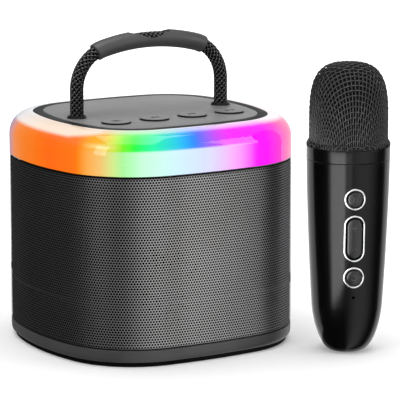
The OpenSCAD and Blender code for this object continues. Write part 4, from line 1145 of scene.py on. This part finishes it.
def make_cord():
    """The braided cord: a tube whose radius swells where a yarn passes over another. The yarns'
    numbers right and left grow round the cord and with or against its length; a yarn is over
    where the sum of its number and its crossing's is even."""
    around = 64
    path, run = handle_path(0.3 * MM)
    _, across, up = tube_frames(path)
    t = np.arange(around) / around
    right = t[None] * BRAID_YARNS + run[:, None] / (BRAID_LAY_MM * MM)
    left = t[None] * BRAID_YARNS - run[:, None] / (BRAID_LAY_MM * MM)

    def yarn(across_it, along_it, sign):
        number = np.round(across_it)
        rounding = np.sqrt(np.clip(1 - (1.9 * (across_it - number)) ** 2, 0.02, 1))
        return rounding * 0.5 + sign * np.cos(np.pi * (along_it + number)) * 0.5

    swell = np.maximum(yarn(right, left, 1), yarn(left, right, -1))
    radius = cord_r - 0.25 * MM + 0.5 * MM * np.clip(swell, 0, 1)
    angle = t[None] * TURN
    points = path[:, None] + radius[..., None] * (
        np.cos(angle)[..., None] * across[:, None] + np.sin(angle)[..., None] * up[:, None])
    rows = len(path)
    faces = grid_faces(rows, around)
    ends = np.array([np.arange(around), np.arange(around)[::-1] + (rows - 1) * around])
    mesh = build_mesh("braided_cord", points.reshape(-1, 3), faces, ends)
    corners = np.zeros(len(mesh.loops), np.int32)
    mesh.loops.foreach_get("vertex_index", corners)
    u, v = corners % around / around, run[corners // around] / MM
    body = faces.size
    wrap = np.zeros(len(u), bool)
    wrap[:body] = (np.ptp(u[:body].reshape(-1, 4), axis=1) > 0.5).repeat(4)
    u = np.where(wrap & (u < 0.5), u + 1, u)
    layer = mesh.uv_layers.new(name="braid")
    layer.data.foreach_set("uv", np.stack([u, v], -1).astype(np.float32).ravel())
    made = piece("braided_cord", mesh, braid, None, (), 80)
    tidy_mesh(mesh, merge=False)
    fold_z = frame_joint("handle_fold")
    fold_z - 4.5 * MM
    fold_z + 5.5 * MM
    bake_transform(made)
    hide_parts("handle_cord", "cord_end_left", "cord_end_right")


def frame_joint(name):
    """The height of a joint's axis."""
    return next(j for j in frame["joints"] if j["name"] == name)["pos_m"][2]


def make_grip():
    """The moulded grip: a tube round the cord with rounded ends and an oval window on top."""
    low, high = span("handle_grip")
    path, _ = handle_path(0.5 * MM)
    path = path[(path[:, 0] > low[0] + 1.2 * MM) & (path[:, 0] < high[0] - 1.2 * MM)]
    path = path[path[:, 2] > low[2]]
    _, across, up = tube_frames(path)
    outer, inner, around = grip_r, cord_r + 0.3 * MM, 72
    end = np.minimum(np.arange(len(path)), np.arange(len(path))[::-1]) * 0.5 * MM
    soft = 0.9 * MM
    reach = outer - soft + np.sqrt(np.clip(soft ** 2 - np.clip(soft - end, 0, soft) ** 2, 0, None))
    t = np.arange(around) / around * TURN
    ring = np.cos(t)[None, :, None] * across[:, None] + np.sin(t)[None, :, None] * up[:, None]
    skin_out = path[:, None] + reach[:, None, None] * ring
    skin_in = (path[:, None] + inner * ring)[::-1]
    points = np.concatenate([skin_out, skin_in]).reshape(-1, 3)
    mesh = build_mesh("grip", points, grid_faces(2 * len(path), around, True))
    tidy_mesh(mesh)
    made = piece("moulded_grip", mesh, grip_soft, None)
    crown_top = path[:, 2].max()
    oval = np.stack([11.8 * MM * np.cos(t), 4.3 * MM * np.sin(t)], -1)
    window = plate("cutter", [lambda d: oval], crown_top, crown_top + 12 * MM, 0.0, 1)
    cutter = piece("window_cutter", window, grip_soft, None)
    cut = made.modifiers.new("window", "BOOLEAN")
    cut.object = cutter
    cut.solver = "EXACT"
    bevel = made.modifiers.new("edge", "BEVEL")
    bevel.width = 0.3 * MM
    bevel.segments = 2
    bevel.limit_method = "ANGLE"
    bevel.angle_limit = math.radians(40)
    apply_modifiers(made)
    bpy.data.objects.remove(cutter)
    made.data.shade_smooth()
    made.data.set_sharp_from_angle(angle=math.radians(40))
    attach(made, "handle")
    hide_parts("handle_grip")


def apply_modifiers(obj):
    """Bakes an object's modifiers into its mesh."""
    view = bpy.context.evaluated_depsgraph_get()
    view.update()
    mesh = bpy.data.meshes.new_from_object(obj.evaluated_get(view))
    obj.modifiers.clear()
    obj.data = mesh


def make_eyelets():
    """Two eyelets with a thin flared skirt."""
    for side, node in ((-1, "socket_left"), (1, "socket_right")):
        low, high = span(node)
        bore, neck, flare = 3.45 * MM, EYELET_NECK_R, 4.95 * MM
        profile = rounded(
            [(bore, high[2]), (neck - 0.2 * MM, high[2]), (neck, panel_top + 0.6 * MM),
             (flare, panel_top + 0.02 * MM), (neck, panel_top - 0.1 * MM), (neck, low[2]), (bore, low[2])],
            [0.3 * MM, 0.3 * MM, 0.2 * MM, 0.06 * MM, 0, 0.1 * MM, 0.1 * MM])
        mesh = lathe(node, profile, (side * handle_half, 0))
        piece(node + "_eyelet", mesh, eyelet_gloss, "root", (node,), 50)


# ---------------------------------------------------------------- microphone

collar_low, collar_high = span("mic_collar")
head_high = span("mic_head")[1]
rocker_low, rocker_high = span("mic_rocker")
mic_x, mic_y = (collar_low + collar_high)[:2] / 2
mic_top_r = (collar_high[0] - collar_low[0]) / 2
mic_h = collar_high[2]
collar_z = mic_h - 6.4 * MM
MIC_TURN = math.radians(24)
MIC_TAPER, MIC_ROUND_H, MIC_ROUND_W = 4.6 * MM, 24 * MM, 8.6 * MM
MIC_WALL, MIC_FLOOR, MIC_FOOT_R = 1.8 * MM, 2.2 * MM, 5.6 * MM
PAD_OUT, FLANGE_OUT = 16 * MM, 14.95 * MM
RING_R, RING_W, KEY_GAP = 5.2 * MM, 0.85 * MM, 0.8 * MM
RING_RISE, CAP_RISE, CAP_CROWN = 0.2 * MM, 0.35 * MM, 0.12 * MM
CAP_R = RING_R - RING_W - KEY_GAP
ROCKER_HALF = 6.2 * MM
rocker_z = (rocker_low[2] + rocker_high[2]) / 2
KEYS = {
    "mic_key_top": (rocker_z + 19.2 * MM, 0.0), "mic_rocker": (rocker_z, ROCKER_HALF),
    "mic_key_bottom": (rocker_z - 19.2 * MM, 0.0)}


def barrel_r(z):
    """The barrel's radius at a height: a slow taper, and a quarter of an oval at the foot."""
    low = np.clip(1 - z / MIC_ROUND_H, 0, 1)
    taper = MIC_TAPER * np.clip(1 - z / mic_h, 0, 1) ** 1.6
    return mic_top_r - taper - MIC_ROUND_W * (1 - np.sqrt(1 - low * low))


def key_side(across, high, out):
    """Points given across the keys' side, up, and outwards from the barrel's middle."""
    sin, cos = math.sin(MIC_TURN), math.cos(MIC_TURN)
    return np.stack([
        mic_x + across * cos - out * sin, mic_y - across * sin - out * cos,
        np.broadcast_to(high, np.shape(across))], -1)


def over_barrel(across, high, rise):
    """Points over the barrel's side."""
    return key_side(across, high, np.sqrt(barrel_r(high) ** 2 - across ** 2) + rise)


def oval(high, half, r, steps=72):
    """Across and up for a loop round a key: a circle, drawn out by half up and down."""
    t = (np.arange(steps) + 0.5) / steps * TURN
    return r * np.cos(t), high + r * np.sin(t) + half * np.sign(np.sin(t))


def round_key(name, high, half, profile, closed):
    """A mesh whose section goes round a key's outline. Each place of the profile is a radius and
    either a rise over the barrel's side or, where the third value is true, a distance out from
    the barrel's middle."""
    rings = []
    for r, level, fixed in profile:
        across, up = oval(high, half, r)
        rings.append(
            key_side(across, up, np.full(len(across), level)) if fixed
            else over_barrel(across, up, level))
    mesh = build_mesh(name, np.concatenate(rings), grid_faces(len(rings), 72, closed))
    tidy_mesh(mesh)
    return mesh


def borer(r):
    """The profile of a cutter that goes through the barrel's wall."""
    near, far = 12 * MM, 24 * MM
    return [(0.0, near, True), (r, near, True), (r, far, True), (0.0, far, True)]


def carve(made, cutters):
    """Takes the cutters' space out of a piece."""
    for k, cutter in enumerate(cutters):
        tool = piece(f"tool_{k}", cutter, grip_soft, None, smooth=None)
        cut = made.modifiers.new("cut", "BOOLEAN")
        cut.object, cut.solver = tool, "EXACT"
        apply_modifiers(made)
        bpy.data.objects.remove(tool)


def smooth_barrel(mesh):
    """Gives the barrel's outer side the true direction of its surface at every corner, so that the
    holes cut in it leave no ripple in the gloss."""
    count = len(mesh.loops)
    corner = np.zeros(count, np.int32)
    mesh.loops.foreach_get("vertex_index", corner)
    normal = np.zeros(count * 3, np.float32)
    mesh.corner_normals.foreach_get("vector", normal)
    normal = normal.reshape(-1, 3)
    co = np.zeros(len(mesh.vertices) * 3, np.float32)
    mesh.vertices.foreach_get("co", co)
    at = co.reshape(-1, 3)[corner]
    flat = at[:, :2] - [mic_x, mic_y]
    r, z = np.linalg.norm(flat, axis=1), np.clip(at[:, 2], 0.02 * MM, None)
    slope = (barrel_r(z + 0.01 * MM) - barrel_r(z - 0.01 * MM)) / (0.02 * MM)
    true = np.c_[flat / np.maximum(r, 1e-6)[:, None], -slope]
    true /= np.linalg.norm(true, axis=1, keepdims=True)
    near = (np.abs(r - barrel_r(z)) < 0.06 * MM) & ((true * normal).sum(1) > 0.8)
    mesh.normals_split_custom_set(np.where(near[:, None], true, normal).tolist())


def make_barrel():
    """The barrel, hollow, with holes for the keys' rings, a pinhole and the foot's hole."""
    heights = np.concatenate([
        MIC_ROUND_H * (1 - np.cos(np.linspace(0, np.pi / 2, 28))),
        np.linspace(MIC_ROUND_H, collar_z - 0.2 * MM, 24)[1:]])
    outer = np.stack([barrel_r(heights), heights], -1)
    lip = [(barrel_r(collar_z) - 0.15 * MM, collar_z)]
    inner_z = np.clip(heights[::-1], MIC_FLOOR, None)
    inner_z[0] = collar_z
    inner = np.stack([np.maximum(barrel_r(inner_z) - MIC_WALL, MIC_FOOT_R + 0.2 * MM), inner_z], -1)
    floor = [(MIC_FOOT_R, MIC_FLOOR), (MIC_FOOT_R, 0.0)]
    profile = np.concatenate([outer, lip, inner, floor])
    made = piece("barrel", lathe("barrel", profile, (mic_x, mic_y), 192), barrel_gloss, None)
    tools = [
        round_key("hole", high, half, borer(RING_R), False) for high, half in KEYS.values()]
    tools.append(round_key("pinhole", rocker_z - 29 * MM, 0.0, borer(0.75 * MM), False))
    carve(made, tools)
    made.data.shade_smooth()
    made.data.set_sharp_from_angle(angle=math.radians(35))
    smooth_barrel(made.data)
    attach(made, "microphone")
    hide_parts("mic_barrel")


def rolled(r, rise, soft, side=1):
    """A rounded edge of a key's profile at a radius and a rise: from its top out and down, or,
    where side is -1, from its bore up and out."""
    turn = np.linspace(0, np.pi / 2, 6)[::side]
    return [
        (r - side * soft * (1 - math.sin(a)), rise - soft * (1 - math.cos(a)), False)
        for a in turn]


def make_keys():
    """The bright rings, and the keys' caps over their flanges."""
    rings = []
    for node, (high, half) in KEYS.items():
        bore, soft = RING_R - RING_W, 0.3 * MM
        crown = rolled(bore, RING_RISE, soft, -1) + rolled(RING_R, RING_RISE, soft)
        rings.append(round_key(
            "ring", high, half, [(bore, PAD_OUT, True), *crown, (RING_R, PAD_OUT, True)], True))
        cap_half = max(0.0, half - 0.2 * MM)
        dome = [
            (r * MM, CAP_RISE + CAP_CROWN * (1 - (r * MM / CAP_R) ** 2), False)
            for r in (0, 0.9, 1.8, 2.6)]
        dome += rolled(CAP_R, CAP_RISE, 0.45 * MM)
        base_r = CAP_R if half else RING_R - 0.2 * MM
        base = [
            (CAP_R, FLANGE_OUT + 1 * MM, True), (base_r, FLANGE_OUT + 1 * MM, True),
            (base_r, FLANGE_OUT, True), (0.0, FLANGE_OUT, True)]
        parts = [round_key(node, high, cap_half, dome + base, False)]
        if half:
            parts.append(rocker_axle(high))
        piece(node + "_cap", joined(node, parts), key_gloss, node, (node,), 50)

        def lift(co, high=high):
            up = high + co[:, 1]
            crest = CAP_RISE + CAP_CROWN * (1 - np.clip(np.abs(co[:, 0]) / CAP_R, 0, 1) ** 2)
            return over_barrel(co[:, 0], up, crest + co[:, 2] - 0.02 * MM)

        mark = marks_mesh(node + "_mark", MIC_MARKS[node], lift)
        piece(node + "_mark", mark, key_mark, node, (), 30)
    piece(
        "bright_rings", joined("bright_rings", rings), ring_bright, "microphone",
        ("mic_key_rings",), 50)


def rocker_axle(high):
    """The stub axle that the rocker tips on."""
    t = np.arange(24) / 24 * TURN
    half, axle_r = 4.25 * MM, 0.9 * MM
    rows = [
        key_side(np.full(24, across), high + r * np.sin(t), FLANGE_OUT + r * np.cos(t))
        for across, r in ((-half, 0.0), (-half, axle_r), (half, axle_r), (half, 0.0))]
    mesh = build_mesh("axle", np.concatenate(rows), grid_faces(4, 24))
    tidy_mesh(mesh)
    return mesh


def arc_band(r, w, first, last, steps=24):
    """A loop round a part of a ring, between two angles in degrees."""
    a = np.radians(np.linspace(first, last, steps))
    way = np.stack([np.cos(a), np.sin(a)], -1)
    return np.concatenate([(r + w) * way, ((r - w) * way)[::-1]]) * MM


MIC_MARKS = {
    "mic_key_top": [[bar(-0.75, 0, 0.22, 1.3)], [bar(0.75, 0, 0.22, 1.3)]],
    "mic_rocker": [
        [np.array([[-1.2, 5.0], [-0.2, 5.0], [-0.2, 4.0], [0.2, 4.0], [0.2, 5.0], [1.2, 5.0],
                   [1.2, 5.4], [0.2, 5.4], [0.2, 6.4], [-0.2, 6.4], [-0.2, 5.4], [-1.2, 5.4]]) * MM],
        [bar(0, -5.2, 1.2, 0.2)]],
    "mic_key_bottom": [[arc_band(1.35, 0.2, -150, 120)]],
}


def make_collar():
    """The collar over the barrel, its spigot, and the flared rim of the head."""
    low, top = collar_z + 0.2 * MM, mic_h
    bore = mic_top_r - 4 * MM
    ring = rounded(
        [(bore, collar_low[2]), (bore, top), (mic_top_r, top), (mic_top_r, low),
         (mic_top_r - MIC_WALL - 0.3 * MM, low), (mic_top_r - MIC_WALL - 0.3 * MM, collar_low[2])],
        [0, 0.2 * MM, 0.35 * MM, 0.2 * MM, 0, 0.2 * MM])
    mesh = lathe("collar", ring, (mic_x, mic_y), 144)
    piece("barrel_collar", mesh, collar_gloss, "microphone", ("mic_collar",))
    rim_top = mic_h + 2.2 * MM
    rim = rounded(
        [(mic_top_r, mic_h), (mic_top_r - 0.1 * MM, mic_h + 1.0 * MM), (mic_top_r - 0.8 * MM, rim_top),
         (mic_top_r - 3 * MM, rim_top), (mic_top_r - 3 * MM, mic_h)],
        [0.15 * MM, 0.5 * MM, 0.3 * MM, 0.1 * MM, 0])
    piece("head_rim", lathe("rim", rim, (mic_x, mic_y), 144), rim_steel, "microphone", ("mic_rim",))


HEAD_POWER = 3.2
WIRE_R = 0.25 * MM
WEAVE = 2.2 * MM


def head_profile():
    """The head's profile from its crown down, as (radius, height) points and their length from
    the crown: r = R (1 - t^p)^(1/p) over the shoulder, where t is the height over it as a part of
    the whole, then straight down and out over the rim."""
    shoulder = mic_h + 0.27 * (head_high[2] - mic_h)
    radius = mic_top_r - 1.2 * MM - 1.4 * WIRE_R
    rise = head_high[2] - 1.4 * WIRE_R - shoulder
    a = np.linspace(0, np.pi / 2, 200)
    r, t = np.sin(a) ** (2 / HEAD_POWER), np.cos(a) ** (2 / HEAD_POWER)
    over = np.stack([radius * r, shoulder + rise * t], -1)
    straight = np.stack([np.full(40, radius), np.linspace(shoulder, mic_h + 3.4 * MM, 41)[1:]], -1)
    out = mic_top_r - 1.4 * WIRE_R
    flare = rounded(
        [straight[-1], (radius + 0.1 * MM, mic_h + 2.6 * MM), (out, mic_h + 1.2 * MM),
         (out, mic_h + 0.3 * MM)], [0, 0.7 * MM, 0.7 * MM, 0], 8, closed=False)
    line = np.concatenate([over, straight, flare[1:]])
    arc = np.concatenate([[0], np.cumsum(np.linalg.norm(np.diff(line, axis=0), axis=1))])
    return line, arc


def sheet_reach(line, arc):
    """How far from its middle the flat sheet comes to lie at each place of the head's profile."""
    even = np.sqrt(np.concatenate([[0], np.cumsum((line[1:, 0] + line[:-1, 0]) * np.diff(arc))]))
    return np.maximum.accumulate((even + arc) / 2 + np.arange(len(arc)) * 1e-9)


def drawn_wire(across, along, line, arc, family):
    """A wire of the weave and the head's outward direction along it. A flat sheet is drawn over
    the head, halfway between keeping its area and keeping its length from the crown: its cells
    grow long and narrow down the sides."""
    x, y = (along, across) if family else (across, along)
    down = np.interp(np.hypot(x, y), sheet_reach(line, arc), arc)
    turn = np.arctan2(y, x) - MIC_TURN
    r, z = np.interp(down, arc, line[:, 0]), np.interp(down, arc, line[:, 1])
    slope = np.gradient(line, arc, axis=0)
    dr, dz = np.interp(down, arc, slope[:, 0]), np.interp(down, arc, slope[:, 1])
    path = np.stack([mic_x + r * np.cos(turn), mic_y + r * np.sin(turn), z], -1)
    up = np.stack([-dz * np.cos(turn), -dz * np.sin(turn), dr], -1)
    return path, up / np.linalg.norm(up, axis=1, keepdims=True)


def wire_tube(path, up):
    """A six-sided tube along a path, with the first side's corner towards up."""
    a = np.arange(6) / 6 * TURN
    along = np.gradient(path, axis=0)
    side = np.cross(along, up)
    side /= np.linalg.norm(side, axis=1, keepdims=True)
    ring = np.cos(a)[None, :, None] * up[:, None] + np.sin(a)[None, :, None] * side[:, None]
    return (path[:, None] + WIRE_R * ring).reshape(-1, 3), grid_faces(len(path), 6)


def make_head():
    """The woven wire head: wires of two families, each over and under the other by turns."""
    line, arc = head_profile()
    reach = sheet_reach(line, arc)[-1]
    count = int(reach / WEAVE)
    for family in (0, 1):
        points, faces, start = [], [], 0
        for k in range(-count, count + 1):
            half = math.sqrt(reach ** 2 - (k * WEAVE) ** 2) / WEAVE
            steps = np.arange(-int(half * 6), int(half * 6) + 1) / 6
            steps = np.concatenate([[-half], steps[np.abs(steps) < half - 0.02], [half]])
            path, up = drawn_wire(np.full(len(steps), k * WEAVE), steps * WEAVE, line, arc, family)
            sway = 0.85 * WIRE_R * np.cos(np.pi * (steps + k + family))
            ring, quads = wire_tube(path + up * sway[:, None], up)
            points.append(ring)
            faces.append(quads + start)
            start += len(ring)
        mesh = build_mesh(f"weave_{family}", np.concatenate(points), np.concatenate(faces))
        tidy_mesh(mesh)
        stands_for = ("mic_head",) if family else ()
        piece(f"head_wires_{family}", mesh, wire_steel, "microphone", stands_for, 80)


add_camera()
light_studio()
dress_nodes()
make_grille()
make_backing()
make_base()
make_band()
make_trim()
make_panel()
make_buttons()
make_cord()
make_grip()
make_eyelets()
make_barrel()
make_keys()
make_collar()
make_head()
